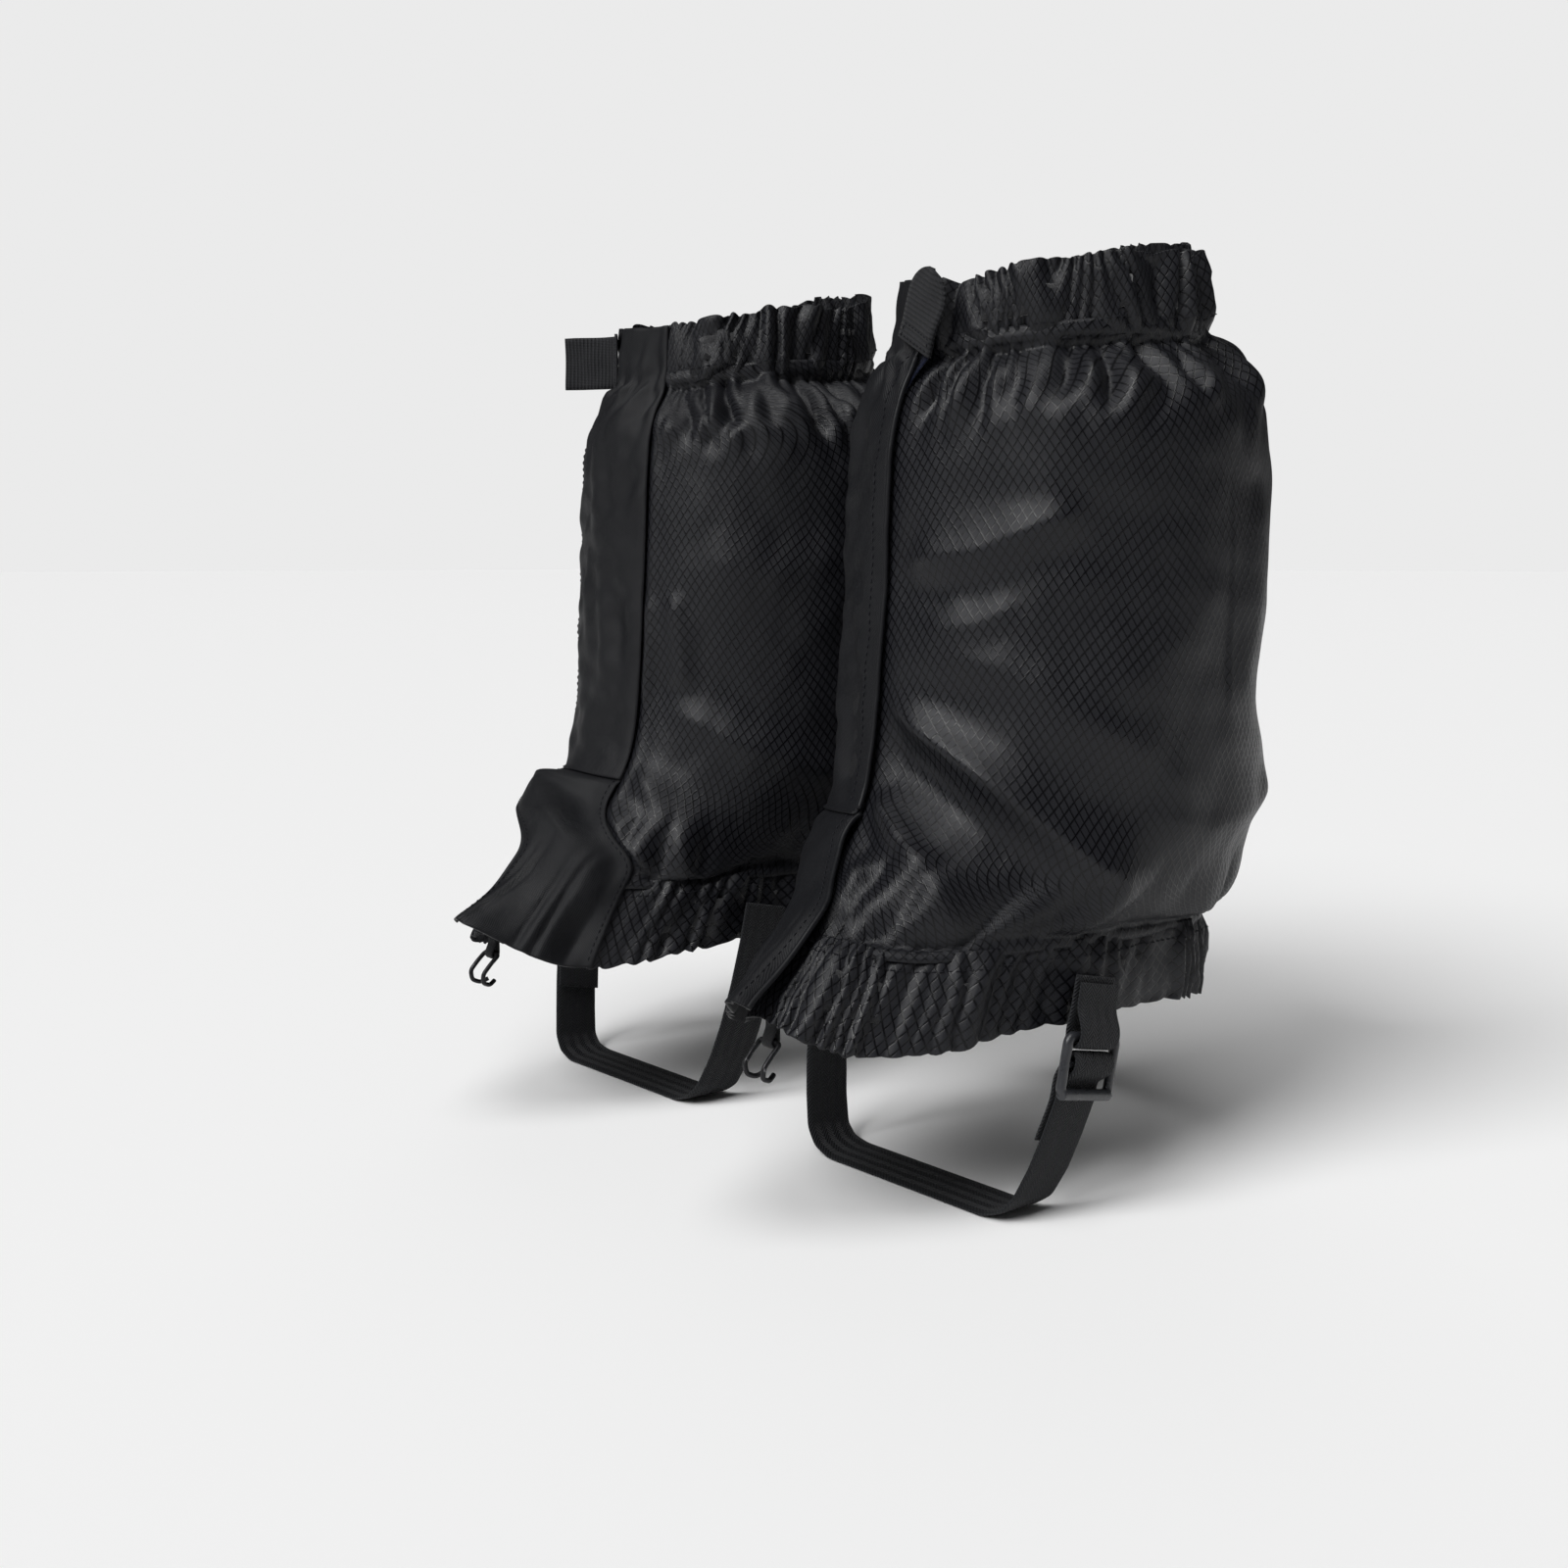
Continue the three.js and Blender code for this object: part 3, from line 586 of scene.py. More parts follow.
def stitches(name, points, normals, pitch=2.6, length=1.7, radius=0.22):
    """A row of short threads: a small rounded bar repeated along a line and laid on the cloth."""
    run = np.concatenate([[0], np.cumsum(np.linalg.norm(np.diff(points, axis=0), axis=1))])
    marks = np.arange(pitch / 2, run[-1], pitch)
    centre = np.stack([np.interp(marks, run, column) for column in points.T], -1)
    up = np.stack([np.interp(marks, run, column) for column in normals.T], -1)
    next_to = np.minimum(marks + 0.5, run[-1])
    way = np.stack([np.interp(next_to, run, column) for column in points.T], -1) - centre
    way /= np.maximum(np.linalg.norm(way, axis=1, keepdims=True), 1e-9)
    up /= np.linalg.norm(up, axis=1, keepdims=True)
    side = np.cross(way, up)
    x = np.array([-0.5, -0.36, 0, 0.36, 0.5]) * length
    size = np.array([0.25, 0.8, 1, 0.8, 0.25]) * radius
    lift = np.array([-0.2, 0.0, 0.16, 0.0, -0.2])
    turn = np.linspace(0, 2 * math.pi, 6, endpoint=False)
    ring = (centre[:, None, None] + way[:, None, None] * x[None, :, None, None]
            + up[:, None, None] * (lift[:, None] + size[:, None] * np.sin(turn))[None, ..., None]
            + side[:, None, None] * (size[:, None] * np.cos(turn))[None, ..., None])
    count, steps, sides = len(marks), 5, 6
    base = (np.arange(count) * steps * sides)[:, None, None]
    i, k = np.meshgrid(np.arange(steps - 1), np.arange(sides), indexing="ij")
    k2 = (k + 1) % sides
    cell = np.stack([i * sides + k, i * sides + k2, (i + 1) * sides + k2, (i + 1) * sides + k], -1)
    quads = (base[..., None] + cell[None].reshape(1, -1, 1, 4)).reshape(-1, 4)
    ends = [(base.ravel()[:, None] + np.arange(sides)[::-1]).tolist(),
            (base.ravel()[:, None] + (steps - 1) * sides + np.arange(sides)).tolist()]
    return meshed(name, ring, quads.tolist() + ends[0] + ends[1], THREAD)


def normals_of(points):
    """Unit normals of a grid: the cross product of its two steps."""
    n = np.cross(np.gradient(points, axis=0), np.gradient(points, axis=1))
    return n / np.maximum(np.linalg.norm(n, axis=-1, keepdims=True), 1e-9)


def cloth_map(points, column):
    """Distance along and up the cloth at each grid point, measured from one upright column."""
    du = np.linalg.norm(np.diff(points, axis=0), axis=-1)
    u = np.concatenate([np.zeros((1, points.shape[1])), np.cumsum(du, 0)], 0)
    u -= u[column][None]
    dv = np.linalg.norm(np.diff(points, axis=1), axis=-1)
    v = np.concatenate([np.zeros((points.shape[0], 1)), np.cumsum(dv, 1)], 1)
    return np.stack([u, v], -1)


# ---------------------------------------------------------------- leg cloth

# Creases on each gaiter: path of (degrees round the leg, height), width and rise in mm.
LEFT["folds"] = [
    ([(-12, 160), (16, 142), (44, 120), (74, 96)], 6.5, 7.6),
    ([(-12, 131), (12, 112), (42, 92)], 5.5, 6.4),
    ([(-6, 108), (10, 101), (30, 97)], 4, 3.0),
    ([(-4, 178), (25, 170), (60, 146), (92, 122)], 9, 2.0),
    ([(-8, 200), (18, 205), (48, 219)], 7, 3.6),
    ([(2, 180), (18, 183), (30, 190)], 5, 1.1),
    ([(60, 128), (86, 118), (112, 122), (134, 134)], 8, 2.6),
    ([(48, 160), (70, 176), (88, 200)], 12, 1.6),
    ([(96, 150), (104, 190), (108, 228)], 14, 1.6),
    ([(150, 128), (182, 118), (214, 126)], 8, 3.0),
    ([(165, 160), (190, 144), (222, 140)], 9, 2.2),
    ([(205, 118), (240, 112), (272, 122)], 8, 3.0),
    ([(238, 160), (262, 146), (290, 148)], 9, 2.2),
    ([(140, 200), (170, 186), (205, 190)], 12, 1.5),
    ([(250, 205), (275, 196), (292, 200)], 10, 1.5),
]
RIGHT["folds"] = [
    ([(-10, 192), (-12, 170), (-9, 147)], 4.5, 2.6),
    ([(-20, 192), (-23, 172), (-26, 152)], 5, 2.4),
    ([(-12, 128), (-26, 112), (-46, 96), (-62, 84)], 6, 4.2),
    ([(-4, 110), (-20, 104), (-38, 90)], 5, 3.4),
    ([(-18, 150), (-42, 136), (-70, 124), (-92, 118)], 8, 3.0),
    ([(-30, 204), (-52, 196), (-78, 204)], 11, 1.8),
    ([(-60, 168), (-74, 186), (-82, 214)], 12, 1.6),
    ([(48, 150), (74, 134), (98, 118)], 7, 3.4),
    ([(50, 122), (70, 108), (92, 100)], 6, 3.0),
    ([(60, 200), (84, 192), (110, 200)], 11, 1.8),
    ([(100, 150), (130, 128), (164, 120)], 8, 3.0),
    ([(150, 160), (180, 144), (214, 150)], 9, 2.2),
    ([(190, 122), (222, 112), (252, 120)], 8, 3.0),
    ([(120, 214), (150, 200), (184, 206)], 12, 1.5),
    ([(222, 186), (246, 174), (266, 180)], 10, 1.6),
]
LEFT["seed"], RIGHT["seed"] = 11, 47
HEM_PITCH = 9.2


def drape(g, angle, ring, s, h):
    """Height of the loose cloth: the listed creases and soft waves, with puckers that fade below the
    top hem and gathers that fade above the bottom hem."""
    seed = g["seed"]
    rise = 0.9 * ripple(s, h, 56, seed) + 0.12 * ripple(s * 1.3, h, 20, seed + 2)
    turned = (angle + 180) % 360 - 180
    for path, width, height in g["folds"]:
        behind = path[0][0] > 90
        place = np.where(angle > 90, angle, angle + 360) if behind else turned
        rise = rise + fold(place * ARC, h, path, width, height)
    under = skin(angle, COLLAR + 0 * ring)[..., 2] - h
    under = np.maximum(under, 0)
    reach = np.clip(1 + 0.35 * ripple(s, 0, 40, seed + 7), 0.6, 1.5)
    rise = rise + 3.0 * np.exp(-under / 7) * (lobes(s, HEM_PITCH, seed + 3) - 0.6)
    rise = rise + 4.8 * np.exp(-((under - 11) / (10 * reach)) ** 2) * (
        lobes(s + 0.25 * under, 17, seed + 5, 0.06 * ripple(s, h, 24, seed + 9), 0.4) - 0.6)
    rise = rise + 1.1 * np.exp(-((under - 15) / 12) ** 2) * ripple(s, h, 13, seed + 6)
    rise = rise - 2.2 * np.exp(-(under / 4) ** 2)
    over = np.maximum(h - skin(angle, HEM_TOP + 0 * ring)[..., 2], 0)
    rise = rise + 2.0 * np.exp(-over / 8) * (lobes(s, 8.0, seed + 8) - 0.6)
    rise = rise + 3.4 * np.exp(-((over - 12) / 8) ** 2) * (lobes(s - 0.4 * over, 21.0, seed + 9) - 0.5)
    return rise - 1.2 * np.exp(-(over / 3.5) ** 2)


def leg_panel(g):
    """The leg cloth, from its lap round to the flap's seam: the skin, lifted by the drape where it is
    loose, rolled at the seam, tucked in at both hems, and sagging a little over the bottom one."""
    rings = even_rings(HEM_TOP - 0.12, COLLAR + 0.2, 150)
    share = np.linspace(0, 1, 300)[:, None]
    low, high = lap_at(g, rings), 360 + seam_at(g, rings) + 1.2
    angle = low + (high - low) * share
    ring = np.broadcast_to(rings, angle.shape)
    base = skin(angle, ring)
    s, h = angle * ARC, base[..., 2]
    clear = ease(free_at(g, ring) - 2, free_at(g, ring) + 8, angle)
    at_seam = 1 - 0.8 * ease(high - 7, high, angle)
    rise = drape(g, angle, ring, s, h) * clear * at_seam
    from_seam = high - angle
    rise = rise + 0.7 * np.exp(-((from_seam - 3.7) / 1.2) ** 2) - 1.3 * np.exp(-(from_seam / 1.5) ** 2)
    tucked = ease(HEM_TOP + 0.25, HEM_TOP, ring) + ease(COLLAR - 0.05, COLLAR + 0.05, ring)
    points = lifted(angle, ring, along(CLOTH - 1.3 * clear + rise, 0.6, tucked))
    over = h - skin(angle, HEM_TOP + 0 * ring)[..., 2]
    sag = (4.5 + 3.0 * ripple(s, 0, 34, g["seed"] + 12)) * np.exp(-((over - 9) / 7) ** 2)
    points[..., 2] -= sag * clear * at_seam
    piece = surface(named(g, "leg_panel"), placed(g, points), RIPSTOP, cloth_map(base, 100),
                    wall=0.5, flip=g["side"] < 0)
    belongs(piece, g, "gaiter", "panel", slot="ripstop")


def hem_band(g, label, rings, pleat_seed, upper):
    """A gathered casing with its stitching and elastic: a flat tube whose two walls wander in and out
    together in slanting upright pleats."""
    count, around = 460, 32
    share = np.linspace(0, 1, count)[:, None]
    turn = np.linspace(0, 2 * math.pi, around, endpoint=False)[None]
    c, sn = np.cos(turn), np.sin(turn)
    t = 0.5 + 0.5 * np.sign(sn) * np.abs(sn) ** 0.5
    wall = 0.5 + 0.5 * np.sign(c) * np.abs(c) ** 0.5
    low, high = (lap_at(g, r) + (360 + seam_at(g, r) + 1.4 - lap_at(g, r)) * share for r in rings)
    s = high * ARC
    from_stitching = t if upper else 1 - t
    pitch = HEM_PITCH if upper else 5.4
    lean = (0.9 if upper else 0.4) * (t - 0.5) * (0.6 + ripple(s, 0, 45, pleat_seed + 4))
    crook = (0.08 if upper else 0.16) * ripple(s, t * 30, 18, pleat_seed + 6)
    pleat = lobes(s + 0 * t, pitch, pleat_seed, lean + crook, 0.36)
    broad = ripple(s, t * 20, 26, pleat_seed + 5)
    calm = ease(free_at(g, rings[1]) - 6, free_at(g, rings[1]) + 4, high)
    tucked = np.exp(-(from_stitching / 0.14) ** 2)
    depth = 3.3 if upper else 2.6
    to_seam = ease(0.965, 0.992, share)
    sway = calm * (depth * (pleat - 0.62) * (1 - 0.45 * tucked) + 0.8 * broad) - 0.9 * tucked
    sway = sway + calm * (0.1 if upper else 0.3) * ripple(s, t * 26, 9, pleat_seed + 7)
    sway = along(sway - (1.0 if upper else 0.0), -1.9, to_seam)
    thick = 2.3 - 1.5 * ease(0.72, 1.0, from_stitching) - 0.9 * tucked

    def placed_at(wall_share, t, sway, thick):
        """A point a share of the way through the casing and a share of the way up it."""
        lift = 0.6 + sway + (wall_share - 0.5) * thick
        foot, head = (skin(a, np.full(a.shape, r)) + outward(a, np.full(a.shape, r)) * lift[..., None]
                      for a, r in ((low, rings[0]), (high, rings[1])))
        up = (head - foot) / np.linalg.norm(head - foot, axis=-1, keepdims=True)
        uneven = calm * (1.5 * (pleat[:, :1] - 0.6) + 0.7 * ripple(s, 0, 60, pleat_seed + 9))
        rim = uneven * from_stitching ** 3 * (1 if upper else -1)
        return foot + (head - foot) * t[..., None] + up * rim[..., None]

    points = placed_at(wall, t + 0 * share, sway, thick)
    u = np.broadcast_to(s, points.shape[:2]) * 1.15
    v = np.broadcast_to(t * 28 + (wall > 0.5) * 2, points.shape[:2])
    piece = surface(named(g, f"{label}_hem_casing"), placed(g, points), RIPSTOP, np.stack([u, v], -1),
                    flip=g["side"] > 0, wrap=(False, True), caps=True)
    belongs(piece, g, "gaiter", f"{label}_hem", slot="ripstop")
    shown = np.flatnonzero(wall[0] > 0.9)
    near = shown[np.argmin(np.abs(from_stitching[0][shown] - 0.2))]
    first = int(count * 0.02)
    line = points[first:, near]
    normal = outward(high, np.full(high.shape, rings[1]))[first:, 0]
    belongs(stitches(named(g, f"{label}_hem_stitching"), placed(g, line + normal * 0.1),
                     normal * [g["side"], 1, 1]), g, "gaiter")
    core = np.array([0.32, 0.5, 0.68, 0.68, 0.5, 0.32])[None]
    band_sway = np.broadcast_to(sway[:, :1], (count, 6))
    side = np.array([0.8, 0.8, 0.8, 0.2, 0.2, 0.2])[None] + 0 * share
    from_stitching = core if upper else 1 - core
    band = placed_at(side, core + 0 * share, band_sway, np.full((count, 6), 0.9))
    piece = surface(named(g, f"{label}_elastic_band"), placed(g, band[::2]), ELASTIC, flip=g["side"] > 0,
                    wrap=(False, True), caps=True)
    belongs(piece, g, "gaiter", f"{label}_elastic", slot="elastic")


# ---------------------------------------------------------------- closing flap

def flap_grid(g, rings, extra, count=46):
    """Angles, rings and lifts across the flap, from its seam to its free edge, with an extra lift."""
    share = np.linspace(0, 1, count)[:, None]
    low, high = seam_at(g, rings) + 0.3, free_at(g, rings)
    angle = low + (high - low) * share
    ring = np.broadcast_to(rings, angle.shape)
    lift = flap_lift(g, angle, ring) + CLOTH + extra(angle, ring, share)
    return angle, ring, lift


def bulge(g, ring, share):
    """The lower flap's pouch: it eases up from the toe, drops back in under the upper flap, and lies
    on one side."""
    side = ease(0, 0.3, share) * (1 - ease(0.4, 0.92, share)) if g["side"] > 0 else ease(0.1, 0.65, share)
    depth = 2.0 if g["side"] > 0 else 9.5
    return depth * ease(0.9, 2.7, ring) * (1 - ease(FLAP_FOOT - 0.28, FLAP_FOOT, ring)) * side


def front_flap(g):
    """The upper flap: a strip that rises over the tapes, waved along its length, dipped at its seam,
    with a row of stitches and a rolled free edge."""
    seed = g["seed"] + 20
    rings = even_rings(FLAP_FOOT, RIM - 0.01, 150)

    def extra(angle, ring, share):
        """Soft waves, and a crumple where the flap climbs to the top hem."""
        h = skin(angle, ring)[..., 2]
        s = angle * ARC
        waves = 0.9 * ripple(s * 1.6, h * 0.5, 24, seed) + 0.5 * ripple(s, h, 12, seed + 1)
        crumple = 1.1 * np.exp(-((h - 262) / 9) ** 2) * ripple(s + 0.5 * h, h * 0.6, 9, seed + 2)
        at_edges = ease(0, 0.12, share) * (0.4 + 0.6 * ease(0, 0.2, 1 - share))
        loose = (waves + crumple) * at_edges * 0.8 * ease(FLAP_FOOT, FLAP_FOOT + 0.6, ring)
        return loose - 0.6 * np.exp(-(share / 0.03) ** 2)

    angle, ring, lift = flap_grid(g, rings, extra)
    points = lifted(angle, ring, lift)
    piece = surface(named(g, "closing_flap"), placed(g, points), PLAIN, cloth_map(points, 0),
                    wall=FLAP_WALL, flip=g["side"] < 0)
    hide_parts(named(g, "front_flap"))
    middle = 70
    start = placed(g, points[:1, middle:middle + 1])[0, 0]
    way = placed(g, points[5:6, middle:middle + 1])[0, 0] - start
    way[2] = 0
    way /= np.linalg.norm(way)
    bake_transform(piece)
    normal = normals_of(points)
    up = normal[41, 4:-22]
    belongs(stitches(named(g, "flap_edge_stitching"), placed(g, points[41, 4:-22] + up * 0.06),
                     up * [g["side"], 1, 1]), g, "flap")
    edge = smooth_path(points[-1, 2:-26] - normal[-1, 2:-26] * 0.5, 1.0, 6)
    belongs(round_rod(named(g, "rolled_edge"), placed(g, edge), EDGE_ROLL, PLAIN), g, "flap",
            "flap_binding", slot="plain_cloth")


def instep_flap(g):
    """The lower flap: drawn out to a point over the laces, its head tucked under the upper flap."""
    seed = g["seed"] + 30
    rings = even_rings(0, FLAP_FOOT + 0.22, 96)

    def extra(angle, ring, share):
        """Soft waves, gathers at the foot, the pouch, and a tucked head."""
        h = skin(angle, ring)[..., 2]
        waves = 1.1 * ripple(angle * ARC, h, 30, seed) + 0.4 * ripple(angle * ARC * 1.4, h, 15, seed + 1)
        loose = waves * ease(0, 0.2, share) * 0.8 * (1 - ease(FLAP_FOOT - 0.6, FLAP_FOOT, ring))
        gathers = lobes(angle * ARC + 3 * ring, 7.5, seed + 2, 0, 0.36) - 0.6
        gathers = 2.2 * gathers * np.exp(-(ring / 1.1) ** 2)
        loose = loose + gathers * ease(0, 0.12, share) * ease(0, 0.15, 1 - share)
        return loose + bulge(g, ring, share) - 1.3 * ease(FLAP_FOOT - 0.15, FLAP_FOOT + 0.02, ring)

    angle, ring, lift = flap_grid(g, rings, extra)
    points = lifted(angle, ring, lift)
    pull = np.exp(-((angle + 2) ** 2) / 60) * (1 - ease(0, 0.9, ring))
    points[..., 1] -= 9 * pull
    points[..., 2] += 5 * pull
    piece = surface(named(g, "lower_flap"), placed(g, points), PLAIN, cloth_map(points, 0),
                    wall=FLAP_WALL, flip=g["side"] < 0)
    belongs(piece, g, "gaiter", "instep_flap", slot="plain_cloth")
    normal = normals_of(points)
    for column, label in ((42, "edge"), (2, "seam")):
        up = normal[column, 2:86]
        row = points[column, 2:86] + up * 0.06
        belongs(stitches(named(g, f"lower_flap_{label}_stitching"), placed(g, row),
                         up * [g["side"], 1, 1]), g, "gaiter")
    edge = smooth_path(points[-1, :88] - normal[-1, :88] * 0.5, 1.0, 6)
    belongs(round_rod(named(g, "lower_rolled_edge"), placed(g, edge), EDGE_ROLL, PLAIN), g, "gaiter",
            slot="plain_cloth")


def tapes(g):
    """Hook and loop tapes: thin strips on the lap and on the flap's inner face."""
    wider = 8 if g["side"] > 0 else 0
    rings = even_rings(FLAP_FOOT + 0.3, RIM - 0.25, 90)
    share = np.linspace(0, 1, 14)[:, None]
    base = along(CLOTH, HEM_OUTER, ease(*HEM_STEP, rings)) - 0.5
    for label, node, body, first, lift, extra, finish in (
            ("loop_pile_tape", "loop_tape", "gaiter", 1, base + 1.0, wider * ease(5.5, 7, rings), LOOP_PILE),
            ("hook_row_tape", "hook_tape", "flap", 1.5, base + 1.65, 0, HOOKS)):
        low = lap_at(g, rings) + first
        high = along(lap_at(g, rings), free_at(g, rings), 0.8) + extra
        angle = low + (high - low) * share
        ring = np.broadcast_to(rings, angle.shape)
        points = lifted(angle, ring, np.broadcast_to(lift, angle.shape))
        piece = surface(named(g, label), placed(g, points), finish, cloth_map(points, 0),
                        flip=g["side"] < 0, wall=0.5)
        belongs(piece, g, body, node, slot=node)


# ---------------------------------------------------------------- tabs

def tab_root(g):
    """The middle of the tab's stitching, with the level way round the leg and the way out from it there."""
    lift = HEM_OUTER + 1.5 + CLOTH + (1.0 if g["tab"]["turn"] else 0.5)
    ring, lift = np.array(g["tab"]["ring"]), np.array(lift)
    here, before, after = (lifted(np.array(float(g["tab"]["root"] + d)), ring, lift) for d in (0, -0.5, 0.5))
    round_way = (after - before) * [1, 1, 0]
    round_way /= np.linalg.norm(round_way)
    return here, round_way, np.cross(round_way, [0, 0, 1])


def tab_points(g, span, width, raised):
    """A short strip from its root: it curls round the leg at its bend, or turns away over a short
    soft bend whose heading grows by an ease along its run. Its tilt turns it in its own plane."""
    tab = g["tab"]
    root, round_way, out = tab_root(g)
    run = np.linspace(*span, 40)[:, None]
    left_over = np.maximum(0, run - (tab["length"] - width / 2)) / (width / 2)
    half = width / 2 * (1 + 0 * run if tab["turn"] else np.sqrt(np.maximum(0.03, 1 - left_over ** 2)))
    across = half * np.linspace(-1, 1, 12)[None]
    tilt, away = math.radians(tab["tilt"]), math.radians(tab["turn"])
    level = run * math.cos(tilt) - across * math.sin(tilt)
    rise = run * math.sin(tilt) + across * math.cos(tilt)
    heading = away * ease(-1, 4, level) - level / tab["bend"]
    fine = np.linspace(span[0] - width, span[1] + width, 600)
    fine_heading = away * ease(-1, 4, fine) - fine / tab["bend"]
    step = fine[1] - fine[0]
    ahead, off = np.cumsum(np.cos(fine_heading)) * step, np.cumsum(np.sin(fine_heading)) * step
    ahead, off = ahead - np.interp(0, fine, ahead), off - np.interp(0, fine, off)
    forward = np.interp(level, fine, ahead) - raised * np.sin(heading)
    outwards = np.interp(level, fine, off) + raised * np.cos(heading)
    points = root + forward[..., None] * round_way + outwards[..., None] * out
    points[..., 2] += rise
    return points, np.stack(np.broadcast_arrays(run, across), -1)


def top_tab(g):
    """The ribbon tab, gently waved, with its hook pad and the box of stitches at its root."""
    wave = g["seed"] + 60
    tab = g["tab"]
    span = (-7.0 if tab["turn"] else 0.0, tab["length"])
    run = np.linspace(*span, 40)[:, None]
    across = np.linspace(-1, 1, 12)[None]
    raised = 0.6 + 0.35 * ripple(run, across * 10, 16, wave) * ease(0, 6, run)
    points, cloth = tab_points(g, span, TAB_WIDTH, raised)
    piece = surface(named(g, "closing_tab"), placed(g, points), RIBBON, cloth, flip=g["side"] < 0, wall=1.1)
    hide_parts(named(g, "top_tab"))
    if tab["turn"]:
        root, round_way, _ = tab_root(g)
        ends = [placed(g, root + round_way * d) * MM for d in (-1.5, 3)]
        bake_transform(piece)
    else:
        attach(piece, named(g, "tab"))
    pad_span = (9.5 if tab["turn"] else 0.0, tab["length"] - 3)
    pad, pad_cloth = tab_points(g, pad_span, TAB_PAD_WIDTH, -0.5)
    belongs(surface(named(g, "closing_tab_hooks"), placed(g, pad), HOOKS, pad_cloth, flip=g["side"] < 0,
                    wall=0.3), g, "tab", "tab_hook_pad", slot="hook_tape")
    normal = normals_of(points)
    box = [(2, 1), (2, 10), (8, 10), (8, 1), (2, 1)]
    path, ups = [], []
    for (a, b), (c, d) in zip(box, box[1:]):
        for t in np.linspace(0, 1, 12, endpoint=False):
            i, j = int(round(a + (c - a) * t)), int(round(b + (d - b) * t))
            path.append(points[i, j] + normal[i, j] * 0.05)
            ups.append(normal[i, j])
    belongs(stitches(named(g, "closing_tab_stitching"), placed(g, np.array(path)),
                     np.array(ups) * [g["side"], 1, 1], pitch=2.2, length=1.5), g,
            "flap" if tab["turn"] else "tab")


# ---------------------------------------------------------------- straps, buckle and lace hook

# The strap's stitching, then its lean forward in degrees, how far out its webbing and the buckle's top
# bar stand, the slot under each bar, where strap and buckle webbing meet, and the run under the arch.
PIVOT_Y, PIVOT_Z, LEAN = -48.0, 67.0, 13.0
WEB_X, BAR_X, BAR_Z, BAR_HALF = 54.8, 57.2, 57.6, 1.4
SLOT, JOIN_Z, SOLE_Y, SOLE_HALF = 5.6, 37.6, -64.0, 34.0
STRAP_X = BAR_X - 2.8
TAIL_X = STRAP_X - 1.9


def leaned(x, z):
    """A point beside the hem, given as if the strap hung straight down, turned forward about its
    stitching by its lean."""
    lean, drop = math.radians(LEAN), PIVOT_Z - z
    return [x, PIVOT_Y - drop * math.sin(lean), PIVOT_Z - drop * math.cos(lean), -LEAN]


def strap_for(g, name, route):
    """Webbing along a route given for the outer side: its x counts outwards on both gaiters."""
    route = np.array(route, float)
    route[:, 0] = g["side"] * (route[:, 0] + HALF_SPACING)
    if g["side"] < 0:
        route = route[::-1]
    return flat_strip(name, route, STRAP_WIDTH, WEBBING, WEB)


def stirrup(g):
    """The strap from the inner stitching, under the arch, up through the buckle and down again to its
    free end, and the webbing stitched to the hem that folds round the buckle's top bar."""
    zs = WEBBING / 2
    inner = [leaned(-x, h) for x, h in (
        (WEB_X, 75), (WEB_X, 60), (WEB_X - 1, 44), (WEB_X - 3, 28), (WEB_X - 6, 15))]
    under = [[-45, SOLE_Y + 1.5, 6.6, -9], [-40.5, SOLE_Y + 0.4, 2.4, -4], [-SOLE_HALF, SOLE_Y, zs, 0],
             [SOLE_HALF, SOLE_Y, zs, 0], [40.5, SOLE_Y + 0.4, 2.4, -4], [45, SOLE_Y + 1.5, 6.6, -9]]
    outer = [leaned(x, h) for x, h in ((WEB_X - 6, 15), (WEB_X - 3, 26), (STRAP_X, JOIN_Z))]
    bar = BAR_Z - 2 * BAR_HALF - SLOT
    over = BAR_HALF + 0.4 + WEBBING / 2
    corner = 0.86 * over
    threaded = [leaned(x, h) for x, h in (
        (STRAP_X, bar - 5.6), (STRAP_X + 2.3, bar - 4), (BAR_X + 2.1, bar - 2.2), (BAR_X + over, bar),
        (BAR_X + corner, bar + corner + 0.8), (BAR_X, bar + over + 1.5), (BAR_X - corner, bar + corner + 0.8),
        (BAR_X - over - 0.2, bar), (TAIL_X, bar - 4.6), (TAIL_X, JOIN_Z), (TAIL_X - 1.5, 31),
        (TAIL_X - 3.3, 24))]
    piece = strap_for(g, named(g, "stirrup_webbing"), inner + under + outer + threaded)
    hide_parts(*[named(g, n) for n in ("instep_strap", "strap_threading", "strap_tail")])
    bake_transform(piece)

    wrap = BAR_HALF + 0.8 + WEBBING / 2
    loop = [(WEB_X, 76), (WEB_X, 66), (BAR_X - wrap, 60.5), (BAR_X - wrap, BAR_Z)]
    for turn in np.radians([45, 90, 135]):
        loop.append((BAR_X - wrap * math.cos(turn), BAR_Z - 0.6 - wrap * math.sin(turn)))
    loop += [(BAR_X + wrap, BAR_Z), (BAR_X + wrap - 0.4, 60.5), (WEB_X + 2.2, 66), (WEB_X + 2, 74)]
    piece = strap_for(g, named(g, "buckle_webbing"), [leaned(x, h) for x, h in loop])
    belongs(piece, g, "stirrup", "buckle_loop", slot="webbing")


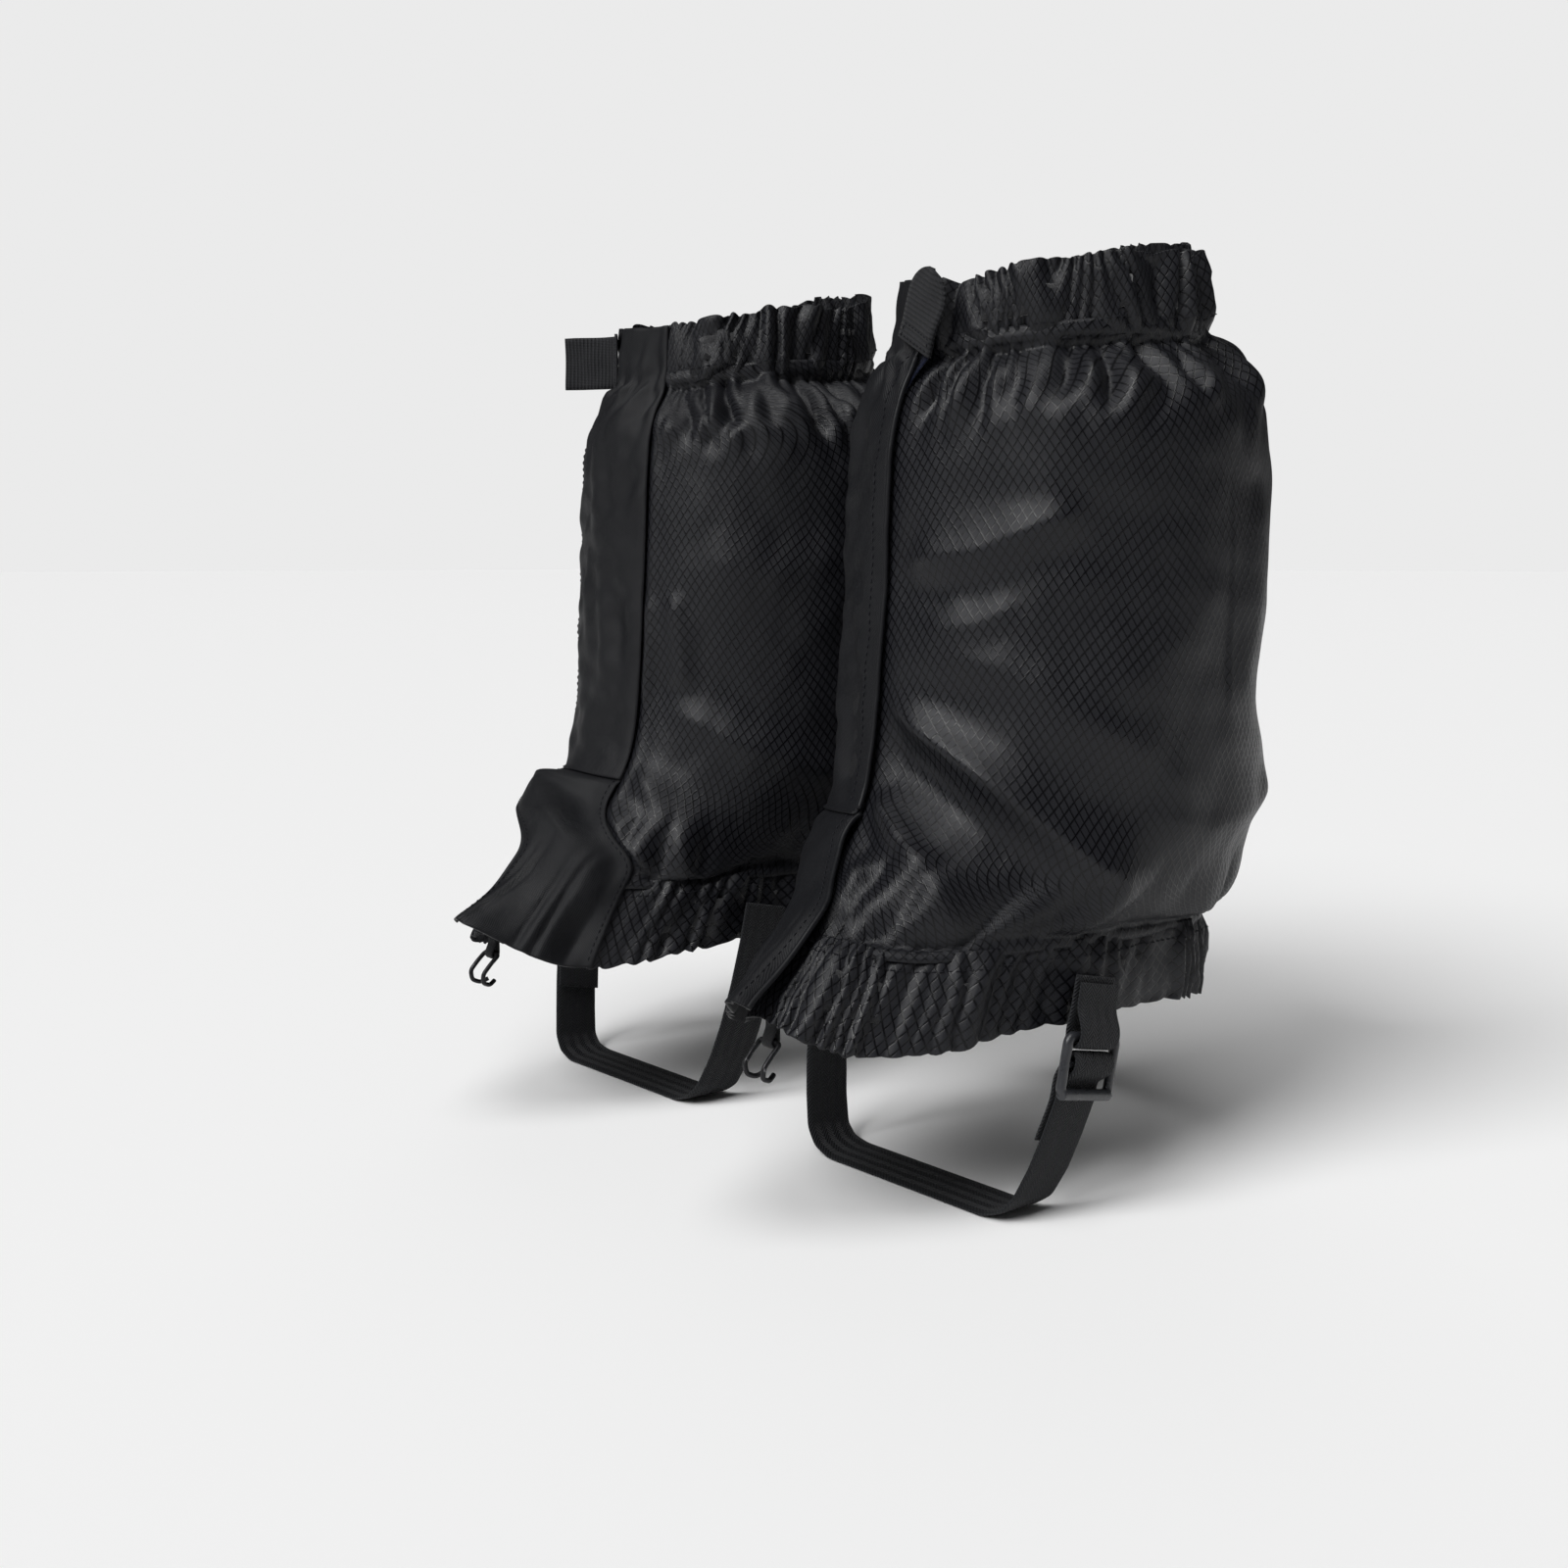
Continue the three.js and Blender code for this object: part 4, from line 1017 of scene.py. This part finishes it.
def buckle(g):
    """Ladder-lock: a rod round an oblong with round corners, a middle bar and a fuller lower bar,
    fused into one moulding."""
    width, height, corner = 27.0, 20.4, 2.2
    half, low = width / 2 - BAR_HALF, -(height - 2 * BAR_HALF)
    turn = np.linspace(0, math.pi / 2, 8)
    corners = ((half - corner, -corner), (-half + corner, -corner), (-half + corner, low + corner),
               (half - corner, low + corner))
    frame_line = np.concatenate([
        np.stack([x + corner * np.cos(turn + start), y + corner * np.sin(turn + start)], -1)
        for (x, y), start in zip(corners, np.arange(4) * math.pi / 2)])
    level = np.linspace(-half, half, 24)
    middle_line = np.stack([level, np.full(24, -(2 * BAR_HALF + SLOT))], -1)
    lower_line = np.stack([level, np.full(24, low)], -1)
    lean = math.radians(LEAN)
    grids, faces, count = [], [], 0
    for flat, radius, closed, out in ((frame_line, 1.6, True, 0.0), (middle_line, 1.25, False, 0.0),
                                      (lower_line, 1.9, False, 0.35)):
        y, z = flat[:, 0], BAR_Z - PIVOT_Z + flat[:, 1]
        path = np.stack([np.full(len(flat), BAR_X + out),
                         PIVOT_Y + y * math.cos(lean) + z * math.sin(lean),
                         PIVOT_Z - y * math.sin(lean) + z * math.cos(lean)], -1)
        grid = rod_grid(placed(g, path), radius, closed, 16, (1, 0, 0))
        grids.append(grid.reshape(-1, 3))
        faces += [[count + corner_at for corner_at in face] for face in rod_faces(grid, closed)]
        count += len(grids[-1])
    piece = meshed(named(g, "ladder_buckle"), np.concatenate(grids), faces, MOULDED, smooth=False)
    fuse = piece.modifiers.new("fuse", "REMESH")
    fuse.mode = "VOXEL"
    fuse.voxel_size = 0.28 * MM
    fuse.use_smooth_shade = True
    soften = piece.modifiers.new("soften", "SMOOTH")
    soften.iterations = 6
    belongs(piece, g, "buckle_frame", "buckle", slot="buckle")


def lace_hook(g):
    """A bent wire hook, two arms from a bar that turn back up at their ends, and the fold of narrow
    webbing that holds it: an oblong section carried round the bar."""
    y0, z0, wire_radius = -131.0, 60.5, 0.8
    arm = [(0.5, 0, 0), (2.6, 0, 0), (4.2, 0, 0), (4.2, -3.2, -2.6), (4.2, -6.6, -6), (3.6, -6.4, -9.4),
           (3, -3.2, -10.8), (2, -0.6, -9.6)]
    wire = [(-x, y, z) for x, y, z in reversed(arm)] + arm
    path = smooth_path([(x, y0 + y, z0 + z) for x, y, z in wire], 0.3, 14)
    belongs(round_rod(named(g, "wire_hook"), placed(g, path), wire_radius, WIRE, sides=14), g, "hook",
            "lace_hook", slot="wire")
    wrap = wire_radius + 0.85  # half the webbing's thickness and a little slack
    section = [(y0 + wrap, z0 + 9), (y0 + wrap, z0)]
    for turn in np.radians([45, 90, 135]):
        section.append((y0 + wrap * math.cos(turn), z0 - wrap * math.sin(turn)))
    section += [(y0 - wrap, z0), (y0 + wrap - 1.35, z0 + 4), (y0 + wrap - 1.3, z0 + 8)]
    path = smooth_path([(0, y, z) for y, z in section], 0.35, 5)
    way = directions(path)
    normal = np.stack([0 * way[:, 0], way[:, 2], -way[:, 1]], -1)
    turn = np.linspace(0, 2 * math.pi, 20, endpoint=False)
    c, s = np.cos(turn), np.sin(turn)
    a, b = np.sign(c) * np.abs(c) ** 0.4 * 2.3, np.sign(s) * np.abs(s) ** 0.7 * 0.45
    points = path[:, None] + normal[:, None] * b[None, :, None]
    points[..., 0] += a[None]
    run = np.linspace(0, 20, len(path))
    cloth = np.stack(np.broadcast_arrays(run[:, None], a[None] * 4), -1)
    piece = surface(named(g, "hook_webbing"), placed(g, points), WEB, cloth, wrap=(False, True), caps=True,
                    flip=g["side"] > 0)
    belongs(piece, g, "gaiter", "hook_loop", slot="webbing")


for g in (LEFT, RIGHT):
    leg_panel(g)
    hem_band(g, "top", (COLLAR, RIM), g["seed"] + 3, True)
    hem_band(g, "bottom", (0.0, HEM_TOP), g["seed"] + 8, False)
    front_flap(g)
    instep_flap(g)
    tapes(g)
    top_tab(g)
    stirrup(g)
    buckle(g)
    lace_hook(g)

# ---------------------------------------------------------------- floor

floor_mesh = bpy.data.meshes.new("floor")
reach = 30.0
floor_mesh.from_pydata([(-reach, -reach, 0), (reach, -reach, 0), (reach, reach, 0), (-reach, reach, 0)], [],
                       [(0, 1, 2, 3)])
floor_finish = Finish("pale_floor", roughness=0.9, specular=0.2)
floor_finish.colour((0.91, 0.91, 0.91, 1))
floor_mesh.materials.append(floor_finish.material)
floor = bpy.data.objects.new("floor", floor_mesh)
floor.location = (0, 0, -0.0002)
bpy.context.scene.collection.objects.link(floor)
